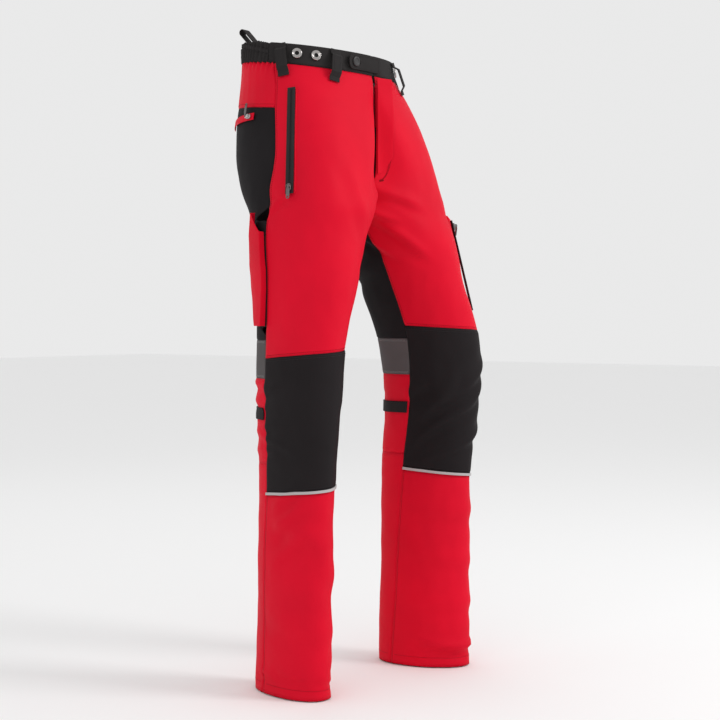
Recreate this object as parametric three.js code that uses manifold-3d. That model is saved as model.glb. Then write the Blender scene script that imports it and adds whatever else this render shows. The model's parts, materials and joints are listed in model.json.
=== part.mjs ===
// Forestry work trousers with cut protection in the front of both legs, hung on the waist.
// Millimetres. The origin is the middle of the waist opening, on the waistband's centre line.
// +X is the wearer's left, -Y is the wearer's front, +Z is up.

import * as THREE from "three";
import { mergeVertices } from "three/addons/utils/BufferGeometryUtils.js";
import Module from "manifold-3d";

// ---- Driving dimensions ----
const BAND_HALF = 17; // the waistband runs this far above and below the waist line
const BACK_RISE = 26; // how far the back of the waistband stands up over the rest of it
const BACK_LEAN = 16; // how far that raised tip leans away from the body
const CROTCH_Z = -265;
const HEM_Z = -1068;
const CLOTH = 2; // thickness of every outer panel
const SEAM = 1.3; // each panel stops this far short of its seam line
const SKIN_GAP = 0.6; // between layers that lie on each other
const TILT = 0.12; // the waist line rises this much for each millimetre towards the back

const YOKE_Z = -95; // bottom of the back yokes
const SEAT_Z = -485; // bottom of the stretch back panels, above the knee hollow
const HOLLOW_Z = -549; // bottom of the knee hollow panels
const STRAP_Z = [-597, -617]; // top and bottom of the strap behind the knee
const CALF_Z = -690; // where the calf stops bending with the knee
const PATCH_TOP = {
  right: { inner: -493, outer: -515 },
  left: { inner: -462, outer: -478 },
};
const PATCH_BOTTOM = { inner: -714, outer: -737 };
const PIPING = 5; // height of the reflective edge under each knee patch
const PAD = 4.5; // thickness of the cut protection
const PAD_GAP = 4; // between the shell and the protection hanging inside it

const FLY = { top: -20, bottom: -204, right: 5.2, left: 4.4, tape: 24, facing: 30, lift: 1.7 };
const HIP_ZIP = { top: -60, bottom: -247, thetaTop: 70, thetaBottom: 77, width: 14 };
const REAR_ZIP = { thetas: [101, 124, 147], heights: [-111, -117, -125], width: 12 };
const CARGO = { top: -265, bottom: -449, thetas: [42, 96], bulge: 9 };
const FLY_PULL = { pull: 17, width: 4.6 }; // short and narrow, to pass through the slit
const FLANK = { top: -286, bottom: -465 }; // the panel behind the side seam of each thigh
const TOOL = { mouthFront: -307, mouthRear: -274, bottom: -462, gap: 8.5 };
const LOOP = { width: 19, top: 15, bottom: -41, standoff: 6.6, foot: 8, cloth: 1.8 };
const BRACE_LOOP = { width: 17, height: 72, gap: 8.5, cloth: 1.8, seat: 28, foot: 4, lean: 0.22 };
const LOOP_THETAS = { front: 32, side: 73 };
const STUD_THETAS = { inner: 46, outer: 60 };
const STUD = { outer: 9, inner: 3.6, height: 2.6 };
const TAB = { thetaEnd: 22, thetaRoot: -5, height: 26, cloth: 2.2 };
const BUTTON = { radius: 8.5, shank: 2.4, height: 2.4, theta: 14 };
const SLIDER = { width: 8, length: 13, height: 3.2 };
const PULL = { width: 6, length: 22, thick: 1.3, hole: 1.5 };

// ---- Shape of the right half of the trousers ----
// Each station is a level: the middle of the leg's section from the body's midline, the
// outermost distance, the innermost distance below the crotch, the y of the middle, of the
// leg's front and of its back, of the centre front seam, the turn of the toes outwards in
// degrees, and how far the left leg is ahead of the level's middle and the right behind it.
const COLUMNS = ["z", "middle", "outer", "inner", "y", "front", "back", "centre", "toe", "stride"];
const STATIONS = [
  [45, 0, 152, 0, 0, -112, 124, -112, 0, 0],
  [18, 0, 156, 0, 0, -114, 120, -114, 0, 0],
  [-18, 2, 162.8, 0, -5, -118, 116, -117, 0, 0],
  [-50, 10, 169, 0, -14, -124, 115, -119, 0, 0],
  [-110, 34.3, 180, 0, -26.6, -145, 114, -120, 0, 0],
  [-170, 58.6, 191, 0, -39.3, -158, 106, -120, 0, 0],
  [-235, 85, 203, 0, -53, -166, 75, -120, 0, 0],
  [-265, 100, 206, 0, -63, -173, 52, -120, 0, 0],
  [-300, 112, 207, 20, -75, -181, 29, -120, 6, 10],
  [-385, 129, 207, 57, -93, -190, 8, -120, 11, 15],
  [-480, 143, 204, 85, -102, -198, -6, -120, 14, 31],
  [-580, 150, 210, 92, -105, -195, -18, -120, 15, 32],
  [-700, 151, 199, 103, -97, -183, -13, -120, 15, 29],
  [-880, 153, 200, 106, -93, -180, -10, -120, 15, 28],
  [-1068, 155, 202, 108, -91, -179, -8, -120, 15, 27],
].map((row) => Object.fromEntries(COLUMNS.map((key, i) => [key, row[i]])));
const STRAIGHT = [3, 6]; // the outside of the hip is straight between these stations

const radians = THREE.MathUtils.degToRad;
const lerp = THREE.MathUtils.lerp;
const clamp = THREE.MathUtils.clamp;

function table(rows, z) {
  const last = rows.length - 1;
  if (z >= rows[0][0]) return rows[0][1];
  if (z <= rows[last][0]) return rows[last][1];
  const i = rows.findIndex((row, k) => z <= row[0] && z > rows[k + 1][0]);
  const t = (z - rows[i][0]) / (rows[i + 1][0] - rows[i][0]);
  return lerp(rows[i][1], rows[i + 1][1], t);
}

function slope(key, i) {
  const secant = (k) =>
    (STATIONS[k + 1][key] - STATIONS[k][key]) / (STATIONS[k + 1].z - STATIONS[k].z);
  if (i === 0) return secant(0);
  if (i === STATIONS.length - 1) return secant(i - 1);
  if (["middle", "outer", "y"].includes(key) && i === STRAIGHT[0]) return secant(i);
  if (["middle", "outer", "y"].includes(key) && i === STRAIGHT[1]) return secant(i - 1);
  return (secant(i - 1) + secant(i)) / 2;
}

function along(key, z) {
  const level = clamp(z, HEM_Z, STATIONS[0].z);
  let i = STATIONS.findIndex((s, k) => k < STATIONS.length - 1 && level >= STATIONS[k + 1].z);
  i = i < 0 ? STATIONS.length - 2 : i;
  const a = STATIONS[i];
  const b = STATIONS[i + 1];
  const h = b.z - a.z;
  const t = (level - a.z) / h;
  const t2 = t * t;
  const t3 = t2 * t;
  return (
    (2 * t3 - 3 * t2 + 1) * a[key] +
    (t3 - 2 * t2 + t) * h * slope(key, i) +
    (3 * t2 - 2 * t3) * b[key] +
    (t3 - t2) * h * slope(key, i + 1)
  );
}

// y of the centre front or centre back seam above the crotch: a U down to the crotch point.
function rise(end, z, height) {
  const crotch = along("y", CROTCH_Z);
  const up = clamp((z - CROTCH_Z) / height, 0, 1);
  return lerp(crotch, along(end, z), Math.sqrt(1 - (1 - up) * (1 - up)));
}

// How far the left leg is ahead at a height.
const step = (z) => (z > CROTCH_Z ? 0 : along("stride", z));

// The power that squares the front of the hips: 1 is an ellipse.
const squareness = (z) =>
  table([[-18, 1], [-60, 0.68], [-235, 0.68], [-310, 0.92], [-385, 1]], z);

// The section at height z of one half (side -1 right, 1 left), at angle theta: 0 is the
// front, 90 the outside, 180 the back, -90 or 270 the inside. Returns the distance from the
// midline, and y.
function section(side, z, theta) {
  const turn = radians(along("toe", z));
  const middle = along("middle", z);
  const y = along("y", z);
  const front = y - along("front", z);
  const back = along("back", z) - y;
  const a = radians(theta);
  const inside = Math.sin(a) < 0;
  const ahead = Math.cos(a) > 0;
  const depth = ahead ? front : back;
  if (inside && z > CROTCH_Z) {
    const q = Math.abs(Math.sin(a));
    const fromEnd = 1 - Math.abs(Math.cos(a));
    const end = ahead ? rise("centre", z, 62) : rise("back", z, 120);
    const full = ahead ? y - front : y + back;
    const soft = THREE.MathUtils.smoothstep(z, CROTCH_Z, CROTCH_Z + 80);
    const share = Math.asin(q) / (Math.PI / 2);
    const arc = lerp(1 - fromEnd, (1 + Math.cos(Math.PI * share)) / 2, soft);
    return [lerp(middle * (1 - q), middle * (1 - share), soft), lerp(end, full, arc)];
  }
  const half = inside ? middle - along("inner", z) : along("outer", z) - middle;
  const power = ahead && !inside ? squareness(z) : 1;
  const across = half * Math.sign(Math.sin(a)) * Math.abs(Math.sin(a)) ** power;
  const forward = depth * Math.sign(Math.cos(a)) * Math.abs(Math.cos(a)) ** power;
  return [
    middle + across * Math.cos(turn) + forward * Math.sin(turn),
    y + across * Math.sin(turn) - forward * Math.cos(turn) - side * step(z),
  ];
}

const seams = {
  // the angle of the outer side seam, of the inseam and of the tool pocket's rear edge
  side: (z) =>
    table([[-18, 79], [-87, 86], [-170, 87], [-210, 89], [-280, 94], [-385, 98],
      [-470, 100], [-725, 105]], z),
  inseam: (z) => (z > CROTCH_Z ? 90 : 90 + ((CROTCH_Z - z) * 36) / (CROTCH_Z - HEM_Z)),
  rear: (z) => table([[-275, 114], [-300, 116], [-395, 130], [-466, 116]], z),
};

// The height of the waist line changes with y near the waist and not below the crotch.
function tilted(y, z) {
  return z + TILT * y * THREE.MathUtils.smoothstep(z, CROTCH_Z, -18);
}

// Points along one level between two angles, as [x, y] on the given side (-1 right, 1 left).
function level(side, z, from, to, steps = 180) {
  const points = [];
  for (let i = 0; i <= steps; i++) {
    const [out, y] = section(side, z, lerp(from, to, i / steps));
    points.push([side * out, y]);
  }
  return points;
}

// The point a fraction s along a polyline, after trimming both ends by a length.
function spaced(points, s, trimStart, trimEnd) {
  const run = [0];
  for (let i = 1; i < points.length; i++) {
    const dx = points[i][0] - points[i - 1][0];
    const dy = points[i][1] - points[i - 1][1];
    run.push(run[i - 1] + Math.hypot(dx, dy));
  }
  const want = lerp(trimStart, run[run.length - 1] - trimEnd, s);
  let i = 1;
  while (i < run.length - 1 && run[i] < want) i++;
  const t = (want - run[i - 1]) / Math.max(run[i] - run[i - 1], 1e-9);
  return [lerp(points[i - 1][0], points[i][0], t), lerp(points[i - 1][1], points[i][1], t)];
}

// A point inside the leg or the body, level with p.
function core(p) {
  const side = Math.sign(p.x);
  return new THREE.Vector3(side * along("middle", p.z), along("y", p.z) - side * step(p.z), p.z);
}

// A closed slab over a grid of points: `outer` and `inner` are heights over the surface.
function slab(grid, outer, inner) {
  const rows = grid.length;
  const cols = grid[0].length;
  const normalAt = (i, j) => {
    const east = grid[i][Math.min(j + 1, cols - 1)].clone().sub(grid[i][Math.max(j - 1, 0)]);
    const south = grid[Math.min(i + 1, rows - 1)][j].clone().sub(grid[Math.max(i - 1, 0)][j]);
    return east.cross(south).normalize();
  };
  const height = (value, i, j) =>
    typeof value === "function" ? value(j / (cols - 1), i / (rows - 1)) : value;
  const positions = [];
  const side = slabSide(grid, normalAt);
  for (const value of [outer, inner]) {
    for (let i = 0; i < rows; i++) {
      for (let j = 0; j < cols; j++) {
        const p = grid[i][j].clone().addScaledVector(normalAt(i, j), side * height(value, i, j));
        positions.push(p.x, p.y, p.z);
      }
    }
  }
  const index = [];
  const at = (layer, i, j) => layer * rows * cols + i * cols + j;
  const quad = (a, b, c, d) => {
    if (side > 0) index.push(a, b, c, a, c, d);
    else index.push(a, c, b, a, d, c);
  };
  for (let i = 0; i < rows - 1; i++) {
    for (let j = 0; j < cols - 1; j++) {
      quad(at(0, i, j), at(0, i, j + 1), at(0, i + 1, j + 1), at(0, i + 1, j));
      quad(at(1, i + 1, j), at(1, i + 1, j + 1), at(1, i, j + 1), at(1, i, j));
    }
  }
  for (let j = 0; j < cols - 1; j++) {
    quad(at(1, 0, j), at(1, 0, j + 1), at(0, 0, j + 1), at(0, 0, j));
    quad(at(0, rows - 1, j), at(0, rows - 1, j + 1), at(1, rows - 1, j + 1), at(1, rows - 1, j));
  }
  for (let i = 0; i < rows - 1; i++) {
    quad(at(0, i, 0), at(0, i + 1, 0), at(1, i + 1, 0), at(1, i, 0));
    quad(at(1, i, cols - 1), at(1, i + 1, cols - 1), at(0, i + 1, cols - 1), at(0, i, cols - 1));
  }
  const geometry = new THREE.BufferGeometry();
  geometry.setAttribute("position", new THREE.Float32BufferAttribute(positions, 3));
  geometry.setIndex(index);
  return geometry;
}

// 1 where the grid's own normals point away from the leg, -1 where they point into it.
function slabSide(grid, normalAt) {
  const i = Math.floor(grid.length / 2);
  const j = Math.floor(grid[i].length / 2);
  const p = grid[i][j];
  return normalAt(i, j).dot(p.clone().sub(core(p))) > 0 ? 1 : -1;
}

const evenly = (count) => Array.from({ length: count + 1 }, (_, i) => i / count);

// A panel of cloth between heights top(s) and bottom(s) and angles from(z) and to(z).
function panelGrid({ side, from, to, top, bottom, rows, cols, trim = () => [SEAM, SEAM] }) {
  const value = (f, v) => (typeof f === "function" ? f(v) : f);
  return rows.map((t) =>
    cols.map((s) => {
      const z = lerp(value(top, s), value(bottom, s), t);
      const [start, end] = trim(z);
      const [x, y] = spaced(level(side, z, value(from, z), value(to, z)), s, start, end);
      return new THREE.Vector3(x, y, tilted(y, z));
    }),
  );
}

// ---- Local frames for hardware on the surface ----
function surfacePoint(side, z, theta) {
  const [out, y] = section(side, z, theta);
  return new THREE.Vector3(side * out, y, tilted(y, z));
}

// Columns: tangent towards the wearer's left or the back, up along the cloth, and outwards.
function surfaceFrame(side, z, theta, lift = 0) {
  const p = surfacePoint(side, z, theta);
  const east = surfacePoint(side, z, theta + 1).sub(surfacePoint(side, z, theta - 1));
  const north = surfacePoint(side, z + 4, theta).sub(surfacePoint(side, z - 4, theta));
  const out = east.clone().cross(north).normalize();
  if (side < 0) out.negate();
  north.addScaledVector(out, -north.dot(out)).normalize();
  const right = north.clone().cross(out).normalize();
  p.addScaledVector(out, lift);
  return new THREE.Matrix4().makeBasis(right, north, out).setPosition(p);
}

// A frame whose up direction runs from one point to another, with its origin at the first.
function trackFrame(start, end, outward) {
  const up = end.clone().sub(start).normalize();
  const out = outward.clone().addScaledVector(up, -outward.dot(up)).normalize();
  const right = up.clone().cross(out).normalize();
  return new THREE.Matrix4().makeBasis(right, up, out).setPosition(start);
}

const column = (matrix, i) => new THREE.Vector3().setFromMatrixColumn(matrix, i);
const place = (geometry, matrix) => geometry.applyMatrix4(matrix);
const box = (x, y, z, at = [0, 0, 0]) => new THREE.BoxGeometry(x, y, z).translate(...at);

// Extrudes an outline drawn either way round: the outline is made to run anticlockwise and
// its holes clockwise.
function extrude(drawn, depth, segments = 8) {
  const { shape: outline, holes } = drawn.extractPoints(segments);
  const turned = (drawnPoints, clockwise) => {
    const points = drawnPoints.filter(
      (p, i) => p.distanceTo(drawnPoints[(i + 1) % drawnPoints.length]) > 1e-6,
    );
    return THREE.ShapeUtils.isClockWise(points) === clockwise ? points : points.reverse();
  };
  const shape = new THREE.Shape(turned(outline, false));
  shape.holes = holes.map((hole) => new THREE.Path(turned(hole, true)));
  return new THREE.ExtrudeGeometry(shape, { depth, bevelEnabled: false });
}

// ---- Booleans ----
const wasm = await Module();
wasm.setup();

function solid(geometry) {
  const bare = geometry.clone();
  bare.deleteAttribute("normal");
  bare.deleteAttribute("uv");
  const merged = mergeVertices(bare, 1e-4);
  return new wasm.Manifold(
    new wasm.Mesh({
      numProp: 3,
      vertProperties: new Float32Array(merged.attributes.position.array),
      triVerts: new Uint32Array(merged.index.array),
    }),
  );
}

function geometryOf(manifold) {
  const mesh = manifold.getMesh();
  const geometry = new THREE.BufferGeometry();
  geometry.setAttribute("position", new THREE.Float32BufferAttribute(mesh.vertProperties, 3));
  geometry.setIndex(Array.from(mesh.triVerts));
  return geometry;
}

// ---- Materials ----
const cloth = (color, roughness = 0.85) =>
  new THREE.MeshStandardMaterial({ color, roughness, metalness: 0 });
const metal = (color) => new THREE.MeshStandardMaterial({ color, roughness: 0.3, metalness: 1 });
const materials = {
  shell: () => cloth(0xd81e30),
  stretch: () => cloth(0x211c1f),
  patch: () => cloth(0x191718),
  grey: () => cloth(0x5d5858),
  webbing: () => cloth(0x2c2829),
  piping: () => cloth(0xbdb8b8, 0.4),
  padding: () => cloth(0xe8e2d0),
  tape: () => cloth(0x332e2f),
  steel: () => metal(0xc9c9c9),
  gunmetal: () => metal(0x4a4747),
  plastic: () => cloth(0x1d1a1b, 0.45),
};

const trousers = new THREE.Group();
trousers.name = "work_trousers";
const axes = {};

function add(name, geometry, material) {
  const mesh = new THREE.Mesh(geometry, materials[material]());
  mesh.name = name;
  trousers.add(mesh);
  return mesh;
}

const SIDES = [["right", -1], ["left", 1]];
const slant = (ends) => (s) => lerp(ends.inner, ends.outer, s);

// ---- Front of each leg: panel, knee patch, reflective edge, shin ----
const FRONT_LEVELS = [-18.6, -34, -50, -90, -130, -170, -200, -225, -243, -256, -264, -272,
  -284, -300, -330, -365, -410, -450, -489];
const frontRows = FRONT_LEVELS.map((z) => (z - FRONT_LEVELS[0]) / (-489 - FRONT_LEVELS[0]));

function flyTrim(side) {
  return (z) => {
    const open = z < FLY.top + 6 && z > FLY.bottom - 3;
    const edge = side < 0 ? FLY.right : FLY.left;
    return [open ? edge : SEAM, SEAM];
  };
}

function frontOfLeg(word, side) {
  const from = (z) => -seams.inseam(z);
  const to = seams.side;
  const front = panelGrid({
    side, from, to,
    top: -18.6,
    bottom: (s) => slant(PATCH_TOP[word])(s) + 0.5,
    rows: frontRows,
    cols: evenly(14),
    trim: flyTrim(side),
  });
  add(`front_panel_${word}`, slab(front, 0, -CLOTH), "shell");

  const patch = panelGrid({
    side, from, to,
    top: (s) => slant(PATCH_TOP[word])(s) - 0.5,
    bottom: (s) => slant(PATCH_BOTTOM)(s) + 0.5,
    rows: evenly(7),
    cols: evenly(14),
  });
  add(`knee_patch_${word}`, slab(patch, 1.4, -CLOTH), "patch");

  const edge = panelGrid({
    side, from, to,
    top: (s) => slant(PATCH_BOTTOM)(s) - 0.3,
    bottom: (s) => slant(PATCH_BOTTOM)(s) - PIPING + 0.3,
    rows: evenly(1),
    cols: evenly(14),
  });
  add(`reflective_piping_${word}`, slab(edge, 2, -CLOTH), "piping");

  const shin = panelGrid({
    side, from, to,
    top: (s) => slant(PATCH_BOTTOM)(s) - PIPING - 0.3,
    bottom: HEM_Z,
    rows: evenly(6),
    cols: evenly(14),
  });
  add(`shin_panel_${word}`, slab(shin, 0, -CLOTH), "shell");

  const padTrim = () => [30, 14];
  const padTop = -CLOTH - PAD_GAP;
  const thighPad = panelGrid({
    side, from, to,
    top: -70,
    bottom: -545,
    rows: [0, 0.14, 0.27, 0.34, 0.38, 0.42, 0.46, 0.53, 0.63, 0.74, 0.87, 1],
    cols: evenly(12),
    trim: padTrim,
  });
  add(`cut_pad_thigh_${word}`, slab(thighPad, padTop, padTop - PAD), "padding");
  const shinPad = panelGrid({
    side, from, to,
    top: -640,
    bottom: -1012,
    rows: evenly(5),
    cols: evenly(12),
    trim: padTrim,
  });
  add(`cut_pad_shin_${word}`, slab(shinPad, padTop, padTop - PAD), "padding");
}

// ---- Back of each leg: yoke, seat, side panel, knee hollow, strap, calf ----
function backOfLeg(word, side) {
  const inner = (z) => 360 - seams.inseam(z);
  const yoke = panelGrid({
    side,
    from: seams.side,
    to: inner,
    top: -18.6,
    bottom: YOKE_Z + 0.5,
    rows: evenly(3),
    cols: evenly(12),
  });
  add(`back_yoke_${word}`, slab(yoke, 0, -CLOTH), "shell");

  const SEAT_LEVELS = [YOKE_Z - 0.5, -135, -175, -205, -228, -245, -257, -266, -276, -286,
    -300, -340, -390, -435, FLANK.bottom - 1, FLANK.bottom - 10, SEAT_Z + 0.5];
  const seatEdge = (z) => {
    const above = FLANK.top + 18;
    const below = FLANK.bottom - 10;
    if (z > above) return seams.side(z);
    if (z > FLANK.top) return lerp(seams.rear(FLANK.top), seams.side(above), (z - FLANK.top) / 18);
    if (z > FLANK.bottom) return seams.rear(z);
    if (z > below) return lerp(seams.side(below), seams.rear(FLANK.bottom), (z - below) / 10);
    return seams.side(z);
  };
  const span = SEAT_LEVELS[SEAT_LEVELS.length - 1] - SEAT_LEVELS[0];
  const seat = panelGrid({
    side,
    from: seatEdge,
    to: inner,
    top: SEAT_LEVELS[0],
    bottom: SEAT_LEVELS[SEAT_LEVELS.length - 1],
    rows: SEAT_LEVELS.map((z) => (z - SEAT_LEVELS[0]) / span),
    cols: evenly(11),
  });
  add(`seat_panel_${word}`, slab(seat, 0, -CLOTH), "stretch");

  const flank = panelGrid({
    side,
    from: seams.side,
    to: seams.rear,
    top: FLANK.top - 2.5,
    bottom: FLANK.bottom + 1.5,
    rows: evenly(6),
    cols: evenly(3),
    trim: () => [SEAM, 2 * SEAM],
  });
  add(`thigh_side_panel_${word}`, slab(flank, 0, -CLOTH), word === "right" ? "stretch" : "shell");

  const bands = [
    [`knee_hollow_panel_${word}`, SEAT_Z - 0.5, HOLLOW_Z + 0.5, 3, "grey", 0],
    [`knee_back_panel_${word}`, HOLLOW_Z - 0.5, CALF_Z + 0.5, 4, "shell", 0],
    [`calf_panel_${word}`, CALF_Z - 0.5, HEM_Z, 6, "shell", 0],
  ];
  for (const [name, top, bottom, rows, material] of bands) {
    const grid = panelGrid({
      side,
      from: seams.side,
      to: inner,
      top,
      bottom,
      rows: evenly(rows),
      cols: evenly(10),
    });
    add(name, slab(grid, 0, -CLOTH), material);
  }
  const strap = panelGrid({
    side,
    from: seams.side,
    to: inner,
    top: STRAP_Z[0],
    bottom: STRAP_Z[1],
    rows: evenly(1),
    cols: evenly(10),
    trim: () => [3, 3],
  });
  add(`knee_strap_${word}`, slab(strap, SKIN_GAP + 1.6, SKIN_GAP), "webbing");
}

// ---- Waistband: two front halves, the elastic back with its raised tip, and the loop on it ----
const BAND_SPLIT = 84; // the angle where the front band meets the elastic back

function waistband() {
  for (const [word, side] of SIDES) {
    const band = panelGrid({
      side,
      from: -90,
      to: BAND_SPLIT,
      top: BAND_HALF,
      bottom: -BAND_HALF,
      rows: evenly(2),
      cols: evenly(12),
    });
    add(`waistband_front_${word}`, slab(band, 0.6, -CLOTH), "webbing");
  }
  const raised = (s) => {
    const fromMiddle = Math.abs(s - 0.5) / 0.13;
    return fromMiddle < 1 ? BACK_RISE * (1 - fromMiddle) ** 0.8 : 0;
  };
  const ring = (z) => [
    ...level(-1, z, BAND_SPLIT, 270),
    ...level(1, z, BAND_SPLIT, 270).reverse().slice(1),
  ];
  const rows = [0, 0.3, 0.55, 1];
  const cols = [0, 0.08, 0.16, 0.24, 0.32, 0.37, 0.41, 0.45, 0.48, 0.52, 0.55, 0.59, 0.63,
    0.68, 0.76, 0.84, 0.92, 1];
  const grid = rows.map((t) =>
    cols.map((s) => {
      const z = lerp(BAND_HALF + raised(s), -BAND_HALF, t);
      const [x, y] = spaced(ring(Math.min(z, BAND_HALF)), s, SEAM, SEAM);
      const over = Math.max(z - BAND_HALF, 0);
      return new THREE.Vector3(x, y + (BACK_LEAN * over) / BACK_RISE, tilted(y, z));
    }),
  );
  add("waistband_back", slab(grid, 0.8, -CLOTH), "webbing");
}

// Turns an extruded outline so that its x runs along y, its y along z and its width along x.
const UPRIGHT = new THREE.Matrix4().makeBasis(
  new THREE.Vector3(0, 1, 0),
  new THREE.Vector3(0, 0, 1),
  new THREE.Vector3(1, 0, 0),
);

// A strip bent into a bridge: feet lie on the cloth and the middle stands off it.
function bridge(width, top, bottom, standoff, foot, thick) {
  const shape = new THREE.Shape();
  const ramp = standoff;
  shape.moveTo(top, 0);
  shape.lineTo(top, thick);
  shape.lineTo(top - foot, thick);
  shape.lineTo(top - foot - ramp, standoff + thick);
  shape.lineTo(bottom + foot + ramp, standoff + thick);
  shape.lineTo(bottom + foot, thick);
  shape.lineTo(bottom, thick);
  shape.lineTo(bottom, 0);
  shape.lineTo(bottom + foot, 0);
  shape.lineTo(bottom + foot + ramp, standoff);
  shape.lineTo(top - foot - ramp, standoff);
  shape.lineTo(top - foot, 0);
  shape.closePath();
  const geometry = extrude(shape, width);
  geometry.translate(0, 0, -width / 2);
  return geometry.applyMatrix4(UPRIGHT);
}

function beltLoops() {
  for (const [word, side] of SIDES) {
    for (const [where, theta] of Object.entries(LOOP_THETAS)) {
      const upper = surfacePoint(side, LOOP.top - 4, theta);
      const lower = surfacePoint(side, LOOP.bottom + 4, theta);
      const out = column(surfaceFrame(side, 0, theta), 2);
      const frame = trackFrame(lower, upper, out);
      const reach = upper.distanceTo(lower);
      const strip = bridge(LOOP.width, reach + 4, -4, LOOP.standoff, LOOP.foot, LOOP.cloth);
      strip.translate(0, 0, 2.6);
      add(`belt_loop_${where}_${word}`, place(strip, frame), "webbing");
      axes[`belt_loop_${where}_${word}`] = { frame: frame.toArray(), reach };
    }
  }
}

function stud() {
  const { outer, inner, height } = STUD;
  const profile = [
    [inner, 0], [outer, 0], [outer, height * 0.5], [outer - 1.4, height],
    [inner + 1.6, height], [inner, height - 1], [inner, 0],
  ].map(([r, h]) => new THREE.Vector2(r, h));
  return new THREE.LatheGeometry(profile, 20).rotateX(Math.PI / 2);
}

function braceStuds() {
  for (const [word, side] of SIDES) {
    for (const [where, theta] of Object.entries(STUD_THETAS)) {
      const frame = surfaceFrame(side, 1, theta, 0.6 + SKIN_GAP + 0.2);
      add(`brace_stud_${where}_${word}`, place(stud(), frame), "steel");
      axes[`brace_stud_${where}_${word}`] = { frame: frame.toArray() };
    }
  }
}

// A strap loop sewn on the raised tip of the back, standing up and away from it.
function braceLoop() {
  const { cloth: thick, gap, width, height, seat, foot } = BRACE_LOOP;
  const radius = gap / 2 + thick;
  const outline = new THREE.Shape();
  outline.moveTo(0, 0);
  outline.lineTo(0, height - radius);
  outline.absarc(radius, height - radius, radius, Math.PI, 0, true);
  outline.lineTo(2 * radius, seat + thick);
  outline.lineTo(foot, 0);
  outline.closePath();
  const hole = new THREE.Path();
  hole.moveTo(thick, seat);
  hole.lineTo(thick, height - radius);
  hole.absarc(radius, height - radius, gap / 2, Math.PI, 0, true);
  hole.lineTo(thick + gap, seat);
  hole.closePath();
  outline.holes.push(hole);
  const strip = extrude(outline, width, 6);
  strip.translate(0, 0, -width / 2);
  strip.applyMatrix4(UPRIGHT);

  const [, y] = section(1, BAND_HALF, 270);
  const lean = Math.atan2(BACK_LEAN, BACK_RISE);
  const clear = 0.8 + SKIN_GAP + 0.8;
  const frame = new THREE.Matrix4()
    .makeTranslation(0, y + clear / Math.cos(lean), tilted(y, BAND_HALF))
    .multiply(new THREE.Matrix4().makeRotationX(-lean - BRACE_LOOP.lean));
  add("brace_loop", place(strip, frame), "webbing");
  axes.brace_loop = { frame: frame.toArray() };
}

// ---- Waist closure: a tab from the left front over a button on the right front ----
function waistClosure() {
  const lift = 0.6 + SKIN_GAP;
  const end = surfacePoint(-1, 0, TAB.thetaEnd);
  const root = surfacePoint(1, 0, -TAB.thetaRoot);
  const out = end.clone().sub(root).cross(new THREE.Vector3(0, 0, 1)).normalize();
  if (out.y > 0) out.negate();
  const toEnd = end.clone().sub(root).normalize();
  const up = toEnd.clone().cross(out).normalize();
  if (up.z < 0) up.negate();
  const length = end.distanceTo(root) + 4;
  let deepest = 0;
  for (const z of [-13, 0, 13]) {
    for (let theta = TAB.thetaRoot; theta <= TAB.thetaEnd; theta++) {
      const p = theta < 0 ? surfacePoint(1, z, -theta) : surfacePoint(-1, z, theta);
      deepest = Math.max(deepest, p.sub(root).dot(out));
    }
  }
  const origin = root.clone().addScaledVector(out, deepest + lift);
  const right = up.clone().cross(out).normalize();
  const frame = new THREE.Matrix4().makeBasis(right, up, out).setPosition(origin);
  const towardEnd = Math.sign(toEnd.dot(right));
  const half = TAB.height / 2;
  const shape = new THREE.Shape();
  shape.moveTo(0, -half);
  shape.lineTo(0, half);
  shape.lineTo(towardEnd * (length - 10), half);
  shape.quadraticCurveTo(towardEnd * length, half, towardEnd * length, 0);
  shape.quadraticCurveTo(towardEnd * length, -half, towardEnd * (length - 10), -half);
  shape.closePath();
  const buttonAt = length - 15;
  const slot = new THREE.Path();
  slot.moveTo(towardEnd * (buttonAt - 12), -3);
  slot.lineTo(towardEnd * (buttonAt + 3.2), -3);
  slot.lineTo(towardEnd * (buttonAt + 3.2), 3);
  slot.lineTo(towardEnd * (buttonAt - 12), 3);
  slot.closePath();
  shape.holes.push(slot);
  add("waist_tab", place(extrude(shape, TAB.cloth, 6), frame), "webbing");

  const head = TAB.cloth + SKIN_GAP;
  const seat = 0.1;
  const { radius, shank, height } = BUTTON;
  const profile = [
    [0, seat], [shank, seat], [shank, head], [radius, head], [radius, head + height * 0.6],
    [radius - 1.2, head + height], [radius - 3, head + height], [radius - 3.6, head + height - 0.8],
    [0, head + height - 0.8],
  ].map(([r, h]) => new THREE.Vector2(r, h));
  const button = new THREE.LatheGeometry(profile, 20).rotateX(Math.PI / 2);
  button.translate(towardEnd * buttonAt, 0, 0);
  add("waist_button", place(button, frame), "plastic");
  axes.waist_tab = { frame: frame.toArray(), towardEnd, length };
}

// ---- Zips ----
// A zip's tape lies on the cloth, its slider runs along the tape and its pull hangs on the
// slider. In the zip's frame x is across, y runs up along the teeth and z is outwards.
const TAPE = 1.2;

function sliderShape() {
  const { width, length, height } = SLIDER;
  const body = new THREE.Shape();
  body.moveTo(-width / 2, -length / 2 + 2);
  body.lineTo(-width / 2, length / 2 - 3);
  body.lineTo(-width / 2 + 2, length / 2);
  body.lineTo(width / 2 - 2, length / 2);
  body.lineTo(width / 2, length / 2 - 3);
  body.lineTo(width / 2, -length / 2 + 2);
  body.lineTo(width / 2 - 2, -length / 2);
  body.lineTo(-width / 2 + 2, -length / 2);
  body.closePath();
  return extrude(body, height);
}

// Two lugs on the slider carry the pull's eye between them.
function sliderSolid() {
  const lug = (x) => box(1.2, 5, 3.2, [x, 1.5, SLIDER.height + 1.5]);
  return geometryOf(solid(sliderShape()).add(solid(lug(-2.6))).add(solid(lug(2.6))));
}

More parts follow.
